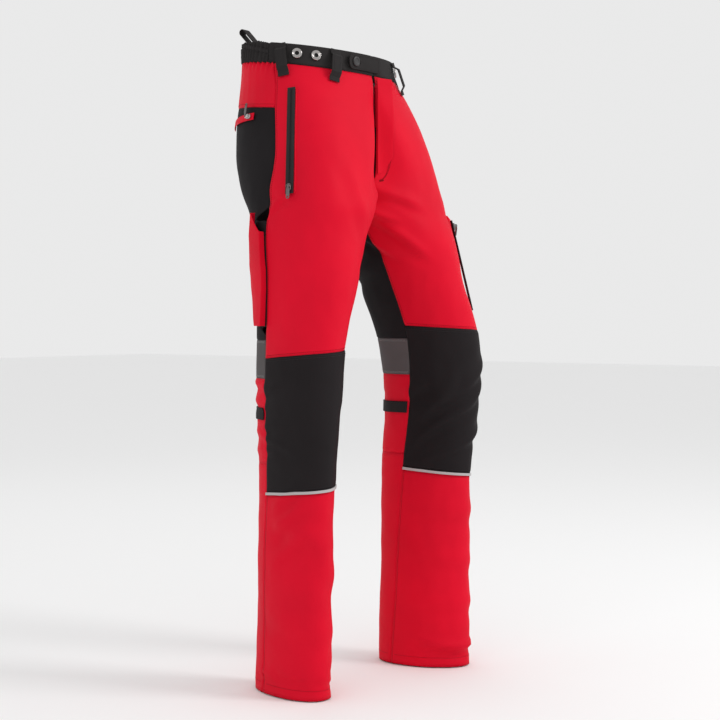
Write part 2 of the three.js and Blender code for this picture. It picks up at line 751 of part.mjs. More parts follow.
function pullShape(length, width) {
  const shape = new THREE.Shape();
  shape.moveTo(-1.6, 1.2);
  shape.lineTo(1.6, 1.2);
  shape.lineTo(1.6, -3.2);
  shape.lineTo(width / 2, -5.5);
  shape.absarc(0, -length + width / 2, width / 2, 0, -Math.PI, true);
  shape.lineTo(-width / 2, -5.5);
  shape.lineTo(-1.6, -3.2);
  shape.closePath();
  const hole = new THREE.Path();
  hole.absarc(0, -length + width / 2, PULL.hole, 0, Math.PI * 2, false);
  shape.holes.push(hole);
  return extrude(shape, PULL.thick, 6);
}

const EYE = { y: 1.5, between: SLIDER.height + 1.7, over: SLIDER.height + 4.2 };

function addZip(word, frame, slideAt, options = {}) {
  const { pull = PULL.length, width = PULL.width, lift = SKIN_GAP, turn = 0 } = options;
  const base = lift + TAPE + 0.3;
  const at = frame.clone().multiply(new THREE.Matrix4().makeTranslation(0, slideAt, base));
  add(`${word}_slider`, place(sliderSolid(), at), "gunmetal");
  const hang = at
    .clone()
    .multiply(new THREE.Matrix4().makeTranslation(0, EYE.y, turn ? EYE.over : EYE.between))
    .multiply(new THREE.Matrix4().makeRotationZ(turn));
  const tongue = pullShape(pull, width).translate(0, 0, -PULL.thick / 2);
  add(`${word}_pull`, place(tongue, hang), "gunmetal");
  axes[word] = {
    slide: column(frame, 1).toArray(),
    at: column(at, 3).toArray(),
    hinge: column(hang, 3).toArray(),
    hingeAxis: column(hang, 0).toArray(),
    out: column(hang, 2).toArray(),
  };
}

// How far the cloth stands out over a zip's straight track, near one angle.
function crown(side, frame, { top, bottom }, theta) {
  const into = frame.clone().invert();
  let highest = 0;
  for (let z = bottom; z <= top; z += 5) {
    for (let beside = -3; beside <= 3; beside++) {
      highest = Math.max(highest, surfacePoint(side, z, theta + beside).applyMatrix4(into).z);
    }
  }
  return highest;
}

function addTape(name, frame, width, length, lift = SKIN_GAP) {
  add(name, place(box(width, length, TAPE, [0, length / 2, lift + TAPE / 2]), frame), "tape");
}

function hipZips() {
  for (const [word, side] of SIDES) {
    const low = surfacePoint(side, HIP_ZIP.bottom, HIP_ZIP.thetaBottom);
    const high = surfacePoint(side, HIP_ZIP.top, HIP_ZIP.thetaTop);
    const middleTheta = (HIP_ZIP.thetaTop + HIP_ZIP.thetaBottom) / 2;
    const out = column(surfaceFrame(side, -145, middleTheta), 2);
    const frame = trackFrame(low, high, out);
    const lift = SKIN_GAP + 1.5;
    addTape(`hip_zip_tape_${word}`, frame, HIP_ZIP.width, low.distanceTo(high), lift);
    addZip(`hip_zip_${word}`, frame, 10, { lift });
  }
}

function fly() {
  const low = surfacePoint(-1, FLY.bottom, -90);
  const high = surfacePoint(-1, FLY.top, -90);
  const out = new THREE.Vector3(0, -1, 0);
  const frame = trackFrame(low, high, out);
  const behind = -(CLOTH + SKIN_GAP + TAPE + 3.4);
  const length = low.distanceTo(high);
  addTape("fly_zip_tape", frame, FLY.tape, length - 4, behind);
  addZip("fly_zip", frame, length - 14, { ...FLY_PULL, lift: behind });

  const facing = panelGrid({
    side: 1,
    from: (z) => -seams.inseam(z),
    to: () => -20,
    top: FLY.top,
    bottom: (s) => FLY.bottom + 6 + 34 * s * s,
    rows: evenly(12),
    cols: evenly(6),
    trim: (z) => {
      const whole = level(1, z, -90, -20);
      let run = 0;
      for (let i = 1; i < whole.length; i++) {
        run += Math.hypot(whole[i][0] - whole[i - 1][0], whole[i][1] - whole[i - 1][1]);
      }
      return [FLY.left + 1.2, run - FLY.left - FLY.facing];
    },
  });
  add("fly_facing", slab(facing, FLY.lift + 1.6, FLY.lift), "shell");
}

// The back pocket's zip lies along a level arc, so its tape is bent and its slider turns.
function rearPocket() {
  const points = REAR_ZIP.thetas.map((theta, i) => surfacePoint(-1, REAR_ZIP.heights[i], theta));
  const [a, b, c] = points;
  const ab = b.clone().sub(a);
  const ac = c.clone().sub(a);
  const normal = ab.clone().cross(ac).normalize();
  if (normal.z < 0) normal.negate();
  const d = 2 * ab.clone().cross(ac).lengthSq();
  const toCentre = ab.clone().cross(ac).cross(ab).multiplyScalar(ac.lengthSq())
    .add(ac.clone().cross(ab.clone().cross(ac)).multiplyScalar(ab.lengthSq()))
    .divideScalar(d);
  const centre = a.clone().add(toCentre);
  const radius = toCentre.length();
  const start = a.clone().sub(centre).normalize();
  const span = start.angleTo(c.clone().sub(centre));
  const tangent = normal.clone().cross(start);
  const way = Math.sign(tangent.dot(c.clone().sub(a)));
  const lift = SKIN_GAP + 0.9;
  const at = (angle, r, h) =>
    centre.clone()
      .addScaledVector(start, r * Math.cos(angle))
      .addScaledVector(tangent, way * r * Math.sin(angle))
      .addScaledVector(normal, h);
  const half = REAR_ZIP.width / 2;
  const grid = [half, -half].map((h) =>
    evenly(10).map((t) => at(t * span, radius, h)),
  );
  add("rear_zip_tape", slab(grid, lift + TAPE, lift), "shell");

  const put = 0.11 * span;
  const out = at(put, 1, 0).sub(centre);
  const toward = at(put + 0.01, radius, 0).sub(at(put, radius, 0)).normalize();
  const right = toward.clone().cross(out).normalize();
  const frame = new THREE.Matrix4()
    .makeBasis(right, toward, out)
    .setPosition(at(put, radius, 0));
  const upward = Math.sign(right.z);
  addZip("rear_zip", frame, 0, { lift, turn: (upward * Math.PI) / 2 });
  axes.rear_zip.centre = centre.toArray();
  axes.rear_zip.normal = normal.toArray();
  axes.rear_zip.span = (way * span * 180) / Math.PI;
}

// ---- Thigh pockets: an open tool pocket on the right, a zipped cargo pocket on the left ----
function toolPocket() {
  const grid = panelGrid({
    side: -1,
    from: seams.side,
    to: seams.rear,
    top: (s) => lerp(TOOL.mouthFront, TOOL.mouthRear, s),
    bottom: TOOL.bottom,
    rows: [0, 0.2, 0.4, 0.6, 0.8, 0.93, 0.96, 1],
    cols: [0, 0.07, 0.13, 0.4, 0.6, 0.87, 0.93, 1],
    trim: () => [2.5, 2.5],
  });
  const wall = 1.6;
  const open = TOOL.gap + SKIN_GAP;
  const under = (s, t) => (s < 0.1 || s > 0.9 || t > 0.95 ? SKIN_GAP : open);
  add("tool_pocket", slab(grid, open + wall, under), "shell");
}

function cargoPocket() {
  const side = 1;
  const grid = panelGrid({
    side,
    from: () => CARGO.thetas[0],
    to: (z) => Math.min(CARGO.thetas[1], seams.side(z) - 1),
    top: CARGO.top,
    bottom: CARGO.bottom,
    rows: [0, 0.05, 0.12, 0.2, 0.3, 0.42, 0.56, 0.7, 0.84, 0.95, 1],
    cols: [0, 0.06, 0.18, 0.34, 0.5, 0.66, 0.82, 0.94, 1],
  });
  const wall = 1.8;
  const sewn = 2 * SKIN_GAP;
  const bag = (s, t) => (s < 0.03 || s > 0.97 || t < 0.03 || t > 0.97 ? 3.2 : CARGO.bulge);
  const lining = (s, t) => (s > 0.9 || t < 0.1 || t > 0.9 ? sewn : bag(s, t) - wall);
  add("cargo_pocket", slab(grid, bag, lining), "shell");

  const theta = CARGO.thetas[0] - 7;
  const low = surfacePoint(side, CARGO.bottom + 12, theta);
  const high = surfacePoint(side, CARGO.top - 10, theta);
  const out = column(surfaceFrame(side, (CARGO.top + CARGO.bottom) / 2, theta), 2);
  const frame = trackFrame(low, high, out);
  const lift = SKIN_GAP + crown(side, frame, CARGO, theta);
  addTape("cargo_zip_tape", frame, 11, low.distanceTo(high), lift);
  addZip("cargo_zip", frame, low.distanceTo(high) - 12, { lift, pull: 26, turn: 0.9 });
}

for (const [word, side] of SIDES) {
  frontOfLeg(word, side);
  backOfLeg(word, side);
}
waistband();
beltLoops();
braceStuds();
braceLoop();
waistClosure();
fly();
hipZips();
rearPocket();
toolPocket();
cargoPocket();
trousers.userData.axes = axes;

export default trousers;
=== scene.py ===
"""Looks of a pair of forestry work trousers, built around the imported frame.

Every cloth panel is cut from its own solid in the frame, sewn to its neighbours along the
seams, creased, given its thickness and dressed. The hardware is bevelled from its solids.
Metres. +X is the wearer's left, -Y the wearer's front, +Z up. The waist is at the origin.
"""

import json
import logging
import math
from dataclasses import dataclass, field
from enum import Enum
from typing import Callable, Iterable

import bmesh
import bpy
import numpy as np
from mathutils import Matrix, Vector, noise
from mathutils.bvhtree import BVHTree
from mathutils.kdtree import KDTree

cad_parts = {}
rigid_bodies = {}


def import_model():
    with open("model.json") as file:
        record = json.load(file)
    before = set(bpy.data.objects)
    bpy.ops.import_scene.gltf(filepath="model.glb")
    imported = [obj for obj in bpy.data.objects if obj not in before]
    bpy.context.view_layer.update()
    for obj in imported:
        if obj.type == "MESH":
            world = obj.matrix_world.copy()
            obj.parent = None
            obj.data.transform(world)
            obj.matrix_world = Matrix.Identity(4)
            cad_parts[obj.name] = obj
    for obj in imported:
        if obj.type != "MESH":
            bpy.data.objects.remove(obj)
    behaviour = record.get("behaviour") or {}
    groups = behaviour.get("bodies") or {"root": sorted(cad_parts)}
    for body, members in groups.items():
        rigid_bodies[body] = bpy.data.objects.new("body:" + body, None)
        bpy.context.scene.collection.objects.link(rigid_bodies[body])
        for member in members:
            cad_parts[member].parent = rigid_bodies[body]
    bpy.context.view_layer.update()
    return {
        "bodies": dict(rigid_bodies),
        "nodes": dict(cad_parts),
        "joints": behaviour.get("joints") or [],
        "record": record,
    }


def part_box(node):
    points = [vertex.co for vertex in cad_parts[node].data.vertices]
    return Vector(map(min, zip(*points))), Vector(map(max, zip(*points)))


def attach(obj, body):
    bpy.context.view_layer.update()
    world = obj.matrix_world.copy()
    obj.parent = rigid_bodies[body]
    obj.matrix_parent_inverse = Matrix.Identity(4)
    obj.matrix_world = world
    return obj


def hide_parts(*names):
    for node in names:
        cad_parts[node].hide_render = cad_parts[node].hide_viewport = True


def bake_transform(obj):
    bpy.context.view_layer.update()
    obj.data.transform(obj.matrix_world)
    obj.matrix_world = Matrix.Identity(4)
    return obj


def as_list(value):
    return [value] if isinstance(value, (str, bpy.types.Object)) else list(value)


log = logging.getLogger("trousers")
MM = 0.001
SIDES = {"right": -1, "left": 1}

SLAB_TURN = 1.0  # radians at which a solid's outer sheet ends and its edge begins
MERGE = 1e-5  # metres within which a solid's corners are one
SHEEN_SHARE = 0.35  # how much of a cloth's sheen shows
FOLD_SCALE = 1.35  # how far every fold stands out, against its own height
FURROW_SHARE = 0.75  # depth of the furrow beside a fold, against the fold's height
BAND_HALF = 0.0175  # half the height of the back waistband
LEAST_FLAT = 0.0101  # the least width that a sheet may be cut to
PALE_PAINT = (0.93, 0.93, 0.93, 1)


# ---------------------------------------------------------------- finishes


class Weave(Enum):
    """How a cloth's threads lie."""

    PLAIN = "plain"
    CORDED = "corded"
    RIBBED = "ribbed"


class Nodes:
    """A small helper that adds shader nodes to one material and joins them."""

    def __init__(self, material: bpy.types.Material) -> None:
        """Starts from the material's own shader.

        Args:
            material: The material to dress.
        """
        material.use_nodes = True
        self.tree = material.node_tree
        self.shader = self.tree.nodes["Principled BSDF"]

    def add(self, kind: str, **settings: object) -> bpy.types.Node:
        """Adds a node.

        Args:
            kind: The node's type name.
            **settings: Attributes to set, or input sockets by name where no attribute fits.

        Returns:
            The new node.
        """
        node = self.tree.nodes.new(kind)
        for key, value in settings.items():
            if hasattr(node, key):
                setattr(node, key, value)
            else:
                node.inputs[key.replace("_", " ")].default_value = value
        return node

    def join(self, source: bpy.types.NodeSocket, target: bpy.types.NodeSocket) -> None:
        """Joins an output socket to an input socket."""
        self.tree.links.new(source, target)

    def math(self, operation: str, a: object, b: object = 0.0) -> bpy.types.NodeSocket:
        """Adds a Math node over sockets or numbers.

        Args:
            operation: The Math node's operation.
            a: First socket or number.
            b: Second socket or number.

        Returns:
            The node's output.
        """
        node = self.add("ShaderNodeMath", operation=operation)
        for value, entry in ((a, node.inputs[0]), (b, node.inputs[1])):
            if isinstance(value, bpy.types.NodeSocket):
                self.join(value, entry)
            else:
                entry.default_value = value
        return node.outputs[0]

    def ramp(
        self, value: bpy.types.NodeSocket, low: tuple, high: tuple, ends: tuple = (0.3, 0.7)
    ) -> bpy.types.NodeSocket:
        """Turns a value into a colour between two.

        Args:
            value: The socket that drives the ramp.
            low: Colour at the low end.
            high: Colour at the high end.
            ends: Where the ramp's two colours sit.

        Returns:
            The colour socket.
        """
        node = self.add("ShaderNodeValToRGB")
        for stop, colour, place in zip(node.color_ramp.elements, (low, high), ends):
            stop.color = (*colour, 1)
            stop.position = place
        self.join(value, node.inputs[0])
        return node.outputs[0]


@dataclass(frozen=True)
class Fabric:
    """A woven cloth.

    Attributes:
        name: The material's name.
        slot: The record's material slot. Not used.
        colour: Linear colour of the cloth.
        roughness: Gloss of the threads.
        sheen: Strength of the soft edge light.
        weave: How the threads lie.
        pitch: Distance between threads, in metres.
        relief: Depth of the weave, in metres.
        mottle: How much the colour varies over the cloth.
        gloss: Strength of the plain reflection.
    """

    name: str
    slot: str
    colour: tuple[float, float, float]
    roughness: float = 0.8
    sheen: float = 0.15
    weave: Weave = Weave.PLAIN
    pitch: float = 0.0011
    relief: float = 0.00012
    mottle: float = 0.08
    gloss: float = 0.10

    def material(self) -> bpy.types.Material:
        """The cloth's material, made once."""
        made = bpy.data.materials.get(self.name)
        if made:
            return made
        material = bpy.data.materials.new(self.name)
        n = Nodes(material)
        n.shader.inputs["Roughness"].default_value = self.roughness
        n.shader.inputs["Specular IOR Level"].default_value = self.gloss
        n.shader.inputs["Sheen Weight"].default_value = self.sheen * SHEEN_SHARE
        n.shader.inputs["Sheen Roughness"].default_value = 0.4
        tint = (min(1.0, c * 1.5) for c in self.colour)
        n.shader.inputs["Sheen Tint"].default_value = (*tint, 1)
        place = n.add("ShaderNodeTexCoord")
        cloth = n.add("ShaderNodeUVMap", uv_map="cloth")
        threads = self._threads(n, cloth.outputs["UV"])
        broad = n.add("ShaderNodeTexNoise", Scale=9.0, Detail=3.0)
        n.join(place.outputs["Object"], broad.inputs["Vector"])
        fibre = n.add("ShaderNodeTexNoise", Scale=900.0, Detail=2.0)
        n.join(place.outputs["Object"], fibre.inputs["Vector"])
        mixed = n.math("ADD", n.math("MULTIPLY", broad.outputs[0], 0.72),
                       n.math("MULTIPLY", threads, 0.16))
        mixed = n.math("ADD", mixed, n.math("MULTIPLY", fibre.outputs[0], 0.12))
        low = tuple(c * (1 - self.mottle) for c in self.colour)
        high = tuple(min(1.0, c * (1 + self.mottle)) for c in self.colour)
        n.join(n.ramp(mixed, low, high), n.shader.inputs["Base Color"])
        height = n.math("ADD", threads, n.math("MULTIPLY", fibre.outputs[0], 0.35))
        bump = n.add("ShaderNodeBump", Strength=0.55, Distance=self.relief)
        n.join(height, bump.inputs["Height"])
        n.join(bump.outputs[0], n.shader.inputs["Normal"])
        return material

    def _threads(self, n: Nodes, uv: bpy.types.NodeSocket) -> bpy.types.NodeSocket:
        """The height of the threads over the cloth.

        Args:
            n: The material's nodes.
            uv: Place on the cloth, in metres.

        Returns:
            A socket from 0 to 1.
        """
        parts = n.add("ShaderNodeSeparateXYZ")
        n.join(uv, parts.inputs[0])
        turn = 2 * math.pi / self.pitch
        warp = n.math("SINE", n.math("MULTIPLY", parts.outputs[0], turn))
        weft = n.math("SINE", n.math("MULTIPLY", parts.outputs[1], turn))
        lines = {Weave.CORDED: weft, Weave.RIBBED: warp}.get(self.weave)
        if lines is None:
            lines = n.math("MULTIPLY", warp, weft)
        return n.math("ADD", n.math("MULTIPLY", lines, 0.5), 0.5)


@dataclass(frozen=True)
class Hard:
    """A metal or plastic finish.

    Attributes:
        name: The material's name.
        slot: The record's material slot. Not used.
        colour: Linear colour.
        metallic: 1 for metal, 0 for plastic.
        roughness: Gloss of the clean surface.
        wear: How much the gloss and colour vary over the surface.
    """

    name: str
    slot: str
    colour: tuple[float, float, float]
    metallic: float = 1.0
    roughness: float = 0.32
    wear: float = 0.12

    def material(self) -> bpy.types.Material:
        """The finish's material, made once."""
        made = bpy.data.materials.get(self.name)
        if made:
            return made
        material = bpy.data.materials.new(self.name)
        n = Nodes(material)
        n.shader.inputs["Metallic"].default_value = self.metallic
        place = n.add("ShaderNodeTexCoord")
        grain = n.add("ShaderNodeTexNoise", Scale=420.0, Detail=4.0)
        n.join(place.outputs["Object"], grain.inputs["Vector"])
        low = tuple(c * (1 - self.wear) for c in self.colour)
        high = tuple(min(1.0, c * (1 + self.wear)) for c in self.colour)
        n.join(n.ramp(grain.outputs[0], low, high), n.shader.inputs["Base Color"])
        spread = n.math("MULTIPLY", grain.outputs[0], self.wear)
        rough = n.math("ADD", spread, self.roughness - 0.06)
        n.join(rough, n.shader.inputs["Roughness"])
        bump = n.add("ShaderNodeBump", Strength=0.2, Distance=0.00003)
        n.join(grain.outputs[0], bump.inputs["Height"])
        n.join(bump.outputs[0], n.shader.inputs["Normal"])
        return material


RED = Fabric("red shell cloth", "shell_red", (0.70, 0.0025, 0.022), 0.6, 0.12)
BLACK = Fabric("black stretch cloth", "stretch_black", (0.0125, 0.0105, 0.0115), 0.72, 0.10,
               mottle=0.18)
PATCH = Fabric("black patch cloth", "patch_black", (0.0145, 0.0115, 0.0125), 0.66, 0.10,
               pitch=0.0014, relief=0.0002, mottle=0.15)
GREY = Fabric("grey corded cloth", "stretch_grey", (0.105, 0.096, 0.097), 0.85, 0.25,
              Weave.CORDED, 0.0018, 0.0003, 0.14)
BAND = Fabric("waistband cloth", "webbing_black", (0.026, 0.0235, 0.0235), 0.75, 0.12,
              mottle=0.15)
STRAP = Fabric("strap webbing", "webbing_black", (0.022, 0.0195, 0.020), 0.7, 0.12,
               Weave.RIBBED, 0.0017, 0.0003, 0.2)
PIPING = Fabric("reflective edge", "reflective_silver", (0.46, 0.44, 0.44), 0.38, 0.0,
                pitch=0.0009, relief=0.00006)
WADDING = Fabric("cut protection cloth", "cut_padding", (0.70, 0.66, 0.54), 0.95, 0.3,
                 pitch=0.0024, relief=0.0005)
TAPE = Fabric("zip tape", "zip_tape", (0.030, 0.027, 0.028), 0.6, 0.05,
              Weave.RIBBED, 0.0010, 0.00015, 0.2)
RED_THREAD = Fabric("red thread", "shell_red", (0.25, 0.003, 0.008), 0.5, 0.1, pitch=0.0005,
                    relief=0.00005)
BLACK_THREAD = Fabric("black thread", "stretch_black", (0.028, 0.025, 0.026), 0.5, 0.1,
                      pitch=0.0005, relief=0.00005)
GREY_THREAD = Fabric("grey thread", "stretch_grey", (0.30, 0.29, 0.29), 0.5, 0.1,
                     pitch=0.0005, relief=0.00005)
STEEL = Hard("stud steel", "stud_steel", (0.40, 0.38, 0.37), 1.0, 0.24)
GUNMETAL = Hard("zip metal", "zip_metal", (0.16, 0.15, 0.15), 1.0, 0.34)
NICKEL = Hard("bright zip metal", "zip_metal", (0.58, 0.57, 0.56), 1.0, 0.3)
PLASTIC = Hard("button plastic", "button_plastic", (0.018, 0.016, 0.017), 0.0, 0.38)
# Painted shade: the stud's socket is coloured near black to stand for the shadow in its hollow,
# not for the steel's own colour.
SOCKET_PAINTED_SHADE = Hard("stud socket", "stud_steel", (0.02, 0.02, 0.02), 1.0, 0.45)


# ---------------------------------------------------------------- shape of the drape


def leg_core(p: Vector) -> Vector:
    """The middle of the body or leg level with a point.

    Args:
        p: A point on the trousers.

    Returns:
        The middle of the leg's or body's section at that height.
    """
    knee = Shape.knees[1 if p.x > 0 else -1]
    share = min(1.0, max(0.0, p.z / knee.z))
    return Vector((knee.x * share, knee.y * share, p.z))


class Shape:
    """Places that the cloth is shaped round, read from the frame."""

    knees: dict[int, Vector] = {}
    band: tuple = ()

    @classmethod
    def read(cls, joints: Iterable[dict]) -> None:
        """Reads the knees and the waistband's box.

        Args:
            joints: The frame's joints.
        """
        for joint in joints:
            if joint["name"].endswith("knee_bend"):
                knee = Vector(joint["pos_m"])
                cls.knees[1 if knee.x > 0 else -1] = knee
        cls.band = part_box("waistband_back")


def around(p: Vector) -> tuple[float, float, float]:
    """Where a point is round its leg.

    Args:
        p: A point on the trousers.

    Returns:
        Angle in degrees (0 front, 90 outside, 180 back), distance from the middle, height.
    """
    c = leg_core(p)
    side = 1 if p.x > 0 else -1
    out, ahead = (p.x - c.x) * side, -(p.y - c.y)
    return math.degrees(math.atan2(out, ahead)), math.hypot(out, ahead), p.z


@dataclass(frozen=True)
class Fold:
    """A ridge in the cloth with a furrow beside it.

    Attributes:
        side: -1 for the right leg, 1 for the left.
        angle: Middle of the fold round the leg, in degrees from the front.
        z: Middle of the fold's height, in metres.
        tilt: Turn of its line from level, in degrees; positive climbs towards the outside.
        length: Half its length, in metres.
        width: Half its width, in metres.
        height: How far it stands out, in metres.
    """

    side: int
    angle: float
    z: float
    tilt: float
    length: float
    width: float
    height: float

    def at(self, side: int, angle: float, radius: float, z: float) -> float:
        """How far this fold lifts the cloth at a place.

        Args:
            side: -1 for the right leg, 1 for the left.
            angle: Degrees round the leg.
            radius: Distance from the leg's middle.
            z: Height.

        Returns:
            The lift in metres.
        """
        if side != self.side or abs(z - self.z) > self.length + 3 * self.width:
            return 0.0
        turn = (angle - self.angle + 180) % 360 - 180
        u = math.radians(turn) * radius
        v = z - self.z
        tilt = math.radians(self.tilt)
        run = u * math.cos(tilt) + v * math.sin(tilt)
        cross = v * math.cos(tilt) - u * math.sin(tilt)
        cross += 0.25 * self.width * math.sin(run / self.length * 2.2)
        taper = math.exp(-((run / self.length) ** 4))
        ridge = math.exp(-((cross / self.width) ** 2))
        furrow = math.exp(-(((cross + 1.7 * self.width) / self.width) ** 2))
        return FOLD_SCALE * self.height * taper * (ridge - FURROW_SHARE * furrow)


@dataclass
class Drape:
    """How the cloth lies away from its cut shape: broad swells, small ripples and folds."""

    folds: list[Fold] = field(default_factory=list)
    swell: float = 3.2 * MM
    ripple: float = 0.9 * MM

    def lift(self, p: Vector) -> float:
        """How far the cloth stands off its cut shape at a point.

        Args:
            p: A point on the trousers.

        Returns:
            The lift in metres.
        """
        angle, radius, z = around(p)
        side = 1 if p.x > 0 else -1
        broad = noise.noise(Vector((p.x * 11, p.y * 11, p.z * 7 + 3.1 * side)))
        fine = noise.noise(Vector((p.x * 42, p.y * 42, p.z * 30)))
        calm = min(1.0, max(0.15, -z / 0.28))
        lift = (self.swell * broad + self.ripple * fine) * calm
        for fold in self.folds:
            lift += fold.at(side, angle, radius, z)
        return lift


def drape() -> Drape:
    """The trousers' folds: behind and below the knees, at the crotch, along the shins."""
    folds = []
    for side in (-1, 1):
        for k, (z, angle, tilt) in enumerate(
            ((-0.556, 150, 8), (-0.571, 120, -12), (-0.586, 165, 14), (-0.632, 140, -9),
             (-0.650, 115, 16), (-0.668, 160, -6))
        ):
            folds.append(Fold(side, angle, z, tilt, 0.05, 0.0065, (1.7 - 0.12 * k) * MM))
        for z, angle, tilt in ((-0.30, 170, 20), (-0.33, 150, 26), (-0.37, 175, 16)):
            folds.append(Fold(side, angle, z, tilt, 0.07, 0.012, 3.0 * MM))
        for z, angle in ((-0.74, 80), (-0.775, 72), (-0.82, 66)):
            folds.append(Fold(side, angle, z, -32, 0.035, 0.009, 2.4 * MM))
        for z, angle in ((-1.03, 60), (-1.036, 10), (-1.03, -40), (-1.035, 130)):
            folds.append(Fold(side, angle, z, 14, 0.03, 0.006, 1.8 * MM))
    folds += [
        Fold(1, -52, -0.258, -24, 0.045, 0.008, 4.4 * MM),
        Fold(1, -38, -0.285, -40, 0.075, 0.011, 4.6 * MM),
        Fold(1, -62, -0.318, -30, 0.04, 0.008, 3.4 * MM),
        Fold(1, -20, -0.236, -14, 0.05, 0.010, 3.2 * MM),
        Fold(1, 5, -0.560, 38, 0.085, 0.009, 3.0 * MM),
        Fold(1, -10, -0.610, 40, 0.10, 0.009, 3.2 * MM),
        Fold(1, 12, -0.660, 34, 0.09, 0.009, 2.8 * MM),
        Fold(-1, 12, -0.280, 62, 0.09, 0.014, 2.4 * MM),
        Fold(-1, -30, -0.225, -20, 0.05, 0.010, 2.8 * MM),
        Fold(1, -40, -0.590, 46, 0.06, 0.010, 1.8 * MM),
        Fold(1, -80, -0.575, 30, 0.03, 0.008, 2.4 * MM),
        Fold(1, 0, -0.79, 4, 0.08, 0.014, 1.6 * MM),
        Fold(1, -8, -0.875, -5, 0.08, 0.013, 1.4 * MM),
        Fold(1, 5, -0.955, 3, 0.08, 0.012, 1.4 * MM),
        Fold(1, -30, -1.028, -10, 0.055, 0.007, 2.6 * MM),
        Fold(1, 25, -1.030, 8, 0.05, 0.006, 2.2 * MM),
        Fold(-1, -50, -0.60, 20, 0.05, 0.010, 1.8 * MM),
        Fold(-1, -60, -0.66, -16, 0.05, 0.010, 1.8 * MM),
        Fold(-1, -45, -0.52, 12, 0.05, 0.012, 1.6 * MM),
        Fold(-1, 40, -0.80, 28, 0.06, 0.016, 2.6 * MM),
        Fold(-1, 0, -0.86, 50, 0.08, 0.02, 2.6 * MM),
        Fold(-1, 45, -0.95, 18, 0.07, 0.018, 2.2 * MM),
        Fold(-1, -30, -0.99, -24, 0.06, 0.016, 2.0 * MM),
        Fold(-1, 76, -0.262, -40, 0.018, 0.005, 1.6 * MM),
        Fold(-1, 70, -0.250, 30, 0.016, 0.005, 1.4 * MM),
        Fold(-1, -20, -0.30, 30, 0.06, 0.02, 1.8 * MM),
    ]
    return Drape(folds)


# ---------------------------------------------------------------- cloth


def sharp_islands(bm: bmesh.types.BMesh, limit: float) -> list[list[bmesh.types.BMFace]]:
    """Groups of faces that meet at less than an angle.

    Args:
        bm: A closed mesh.
        limit: The angle in radians that parts two groups.

    Returns:
        The groups, largest area first.
    """
    left = set(bm.faces)
    islands = []
    while left:
        stack = [left.pop()]
        island = []
        while stack:
            face = stack.pop()
            island.append(face)
            for edge in face.edges:
                if len(edge.link_faces) == 2 and edge.calc_face_angle(0) < limit:
                    for other in edge.link_faces:
                        if other in left:
                            left.remove(other)
                            stack.append(other)
        islands.append(island)
    return sorted(islands, key=lambda fs: -sum(f.calc_area() for f in fs))


def outer_face(node: bpy.types.Object) -> bmesh.types.BMesh:
    """The outward sheet of a closed slab, as quads.

    Args:
        node: A solid of the frame.

    Returns:
        A new mesh with only the outer sheet.
    """
    bm = bmesh.new()
    bm.from_mesh(node.data)
    bmesh.ops.remove_doubles(bm, verts=bm.verts, dist=MERGE)
    sheets = sharp_islands(bm, SLAB_TURN)[:2]

    def outwardness(faces: list[bmesh.types.BMFace]) -> float:
        """Area of faces that look away from the leg, less the rest."""
        total = 0.0
        for f in faces:
            c = f.calc_center_median()
            total += f.calc_area() * f.normal.dot(c - leg_core(c))
        return total

    keep = set(max(sheets, key=outwardness))
    bmesh.ops.delete(bm, geom=[f for f in bm.faces if f not in keep], context="FACES")
    bmesh.ops.join_triangles(
        bm, faces=bm.faces, angle_face_threshold=math.pi, angle_shape_threshold=math.pi
    )
    return bm


def steep(edge: bmesh.types.BMEdge) -> bool:
    """True where an edge runs more up than across."""
    run = edge.verts[0].co - edge.verts[1].co
    return abs(run.z) > 0.7 * run.length


def apply_modifiers(obj: bpy.types.Object) -> None:
    """Makes an object's modifiers part of its mesh.

    Args:
        obj: The object to finish.
    """
    bpy.context.view_layer.update()
    graph = bpy.context.evaluated_depsgraph_get()
    mesh = bpy.data.meshes.new_from_object(obj.evaluated_get(graph))
    old = obj.data
    obj.modifiers.clear()
    obj.data = mesh
    bpy.data.meshes.remove(old)


def new_object(name: str, mesh: bpy.types.Mesh) -> bpy.types.Object:
    """Puts a mesh in the scene.

    Args:
        name: The piece's name.
        mesh: Its mesh.

    Returns:
        The new object.
    """
    mesh.name = name
    obj = bpy.data.objects.new(name, mesh)
    bpy.context.scene.collection.objects.link(obj)
    return obj


def mesh_of(bm: bmesh.types.BMesh, name: str) -> bpy.types.Mesh:
    """Writes a bmesh to a new mesh and frees it."""
    mesh = bpy.data.meshes.new(name)
    bm.to_mesh(mesh)
    bm.free()
    return mesh


def paint(piece: bpy.types.Object, finish: "Fabric | Hard") -> None:
    """Gives a piece its finish.

    Args:
        piece: The piece.
        finish: The finish.
    """
    piece.data.materials.clear()
    piece.data.materials.append(finish.material())


def surface(piece: bpy.types.Object) -> BVHTree:
    """The surface of a finished piece, to lay stitches on."""
    bm = bmesh.new()
    bm.from_mesh(piece.data)
    tree = BVHTree.FromBMesh(bm)
    bm.free()
    return tree


def smooth(bm: bmesh.types.BMesh) -> None:
    """Shades every face of a mesh smoothly."""
    for face in bm.faces:
        face.smooth = True


def skin(bm: bmesh.types.BMesh, rings: list[list[bmesh.types.BMVert]]) -> None:
    """Closes a row of rings of vertices into a rod.

    Args:
        bm: The mesh that the rings are in.
        rings: The rings, from end to end.
    """
    count = len(rings[0])
    for low, high in zip(rings, rings[1:]):
        for i in range(count):
            j = (i + 1) % count
            bm.faces.new((low[i], low[j], high[j], high[i]))
    bm.faces.new(rings[0][::-1])
    bm.faces.new(rings[-1])


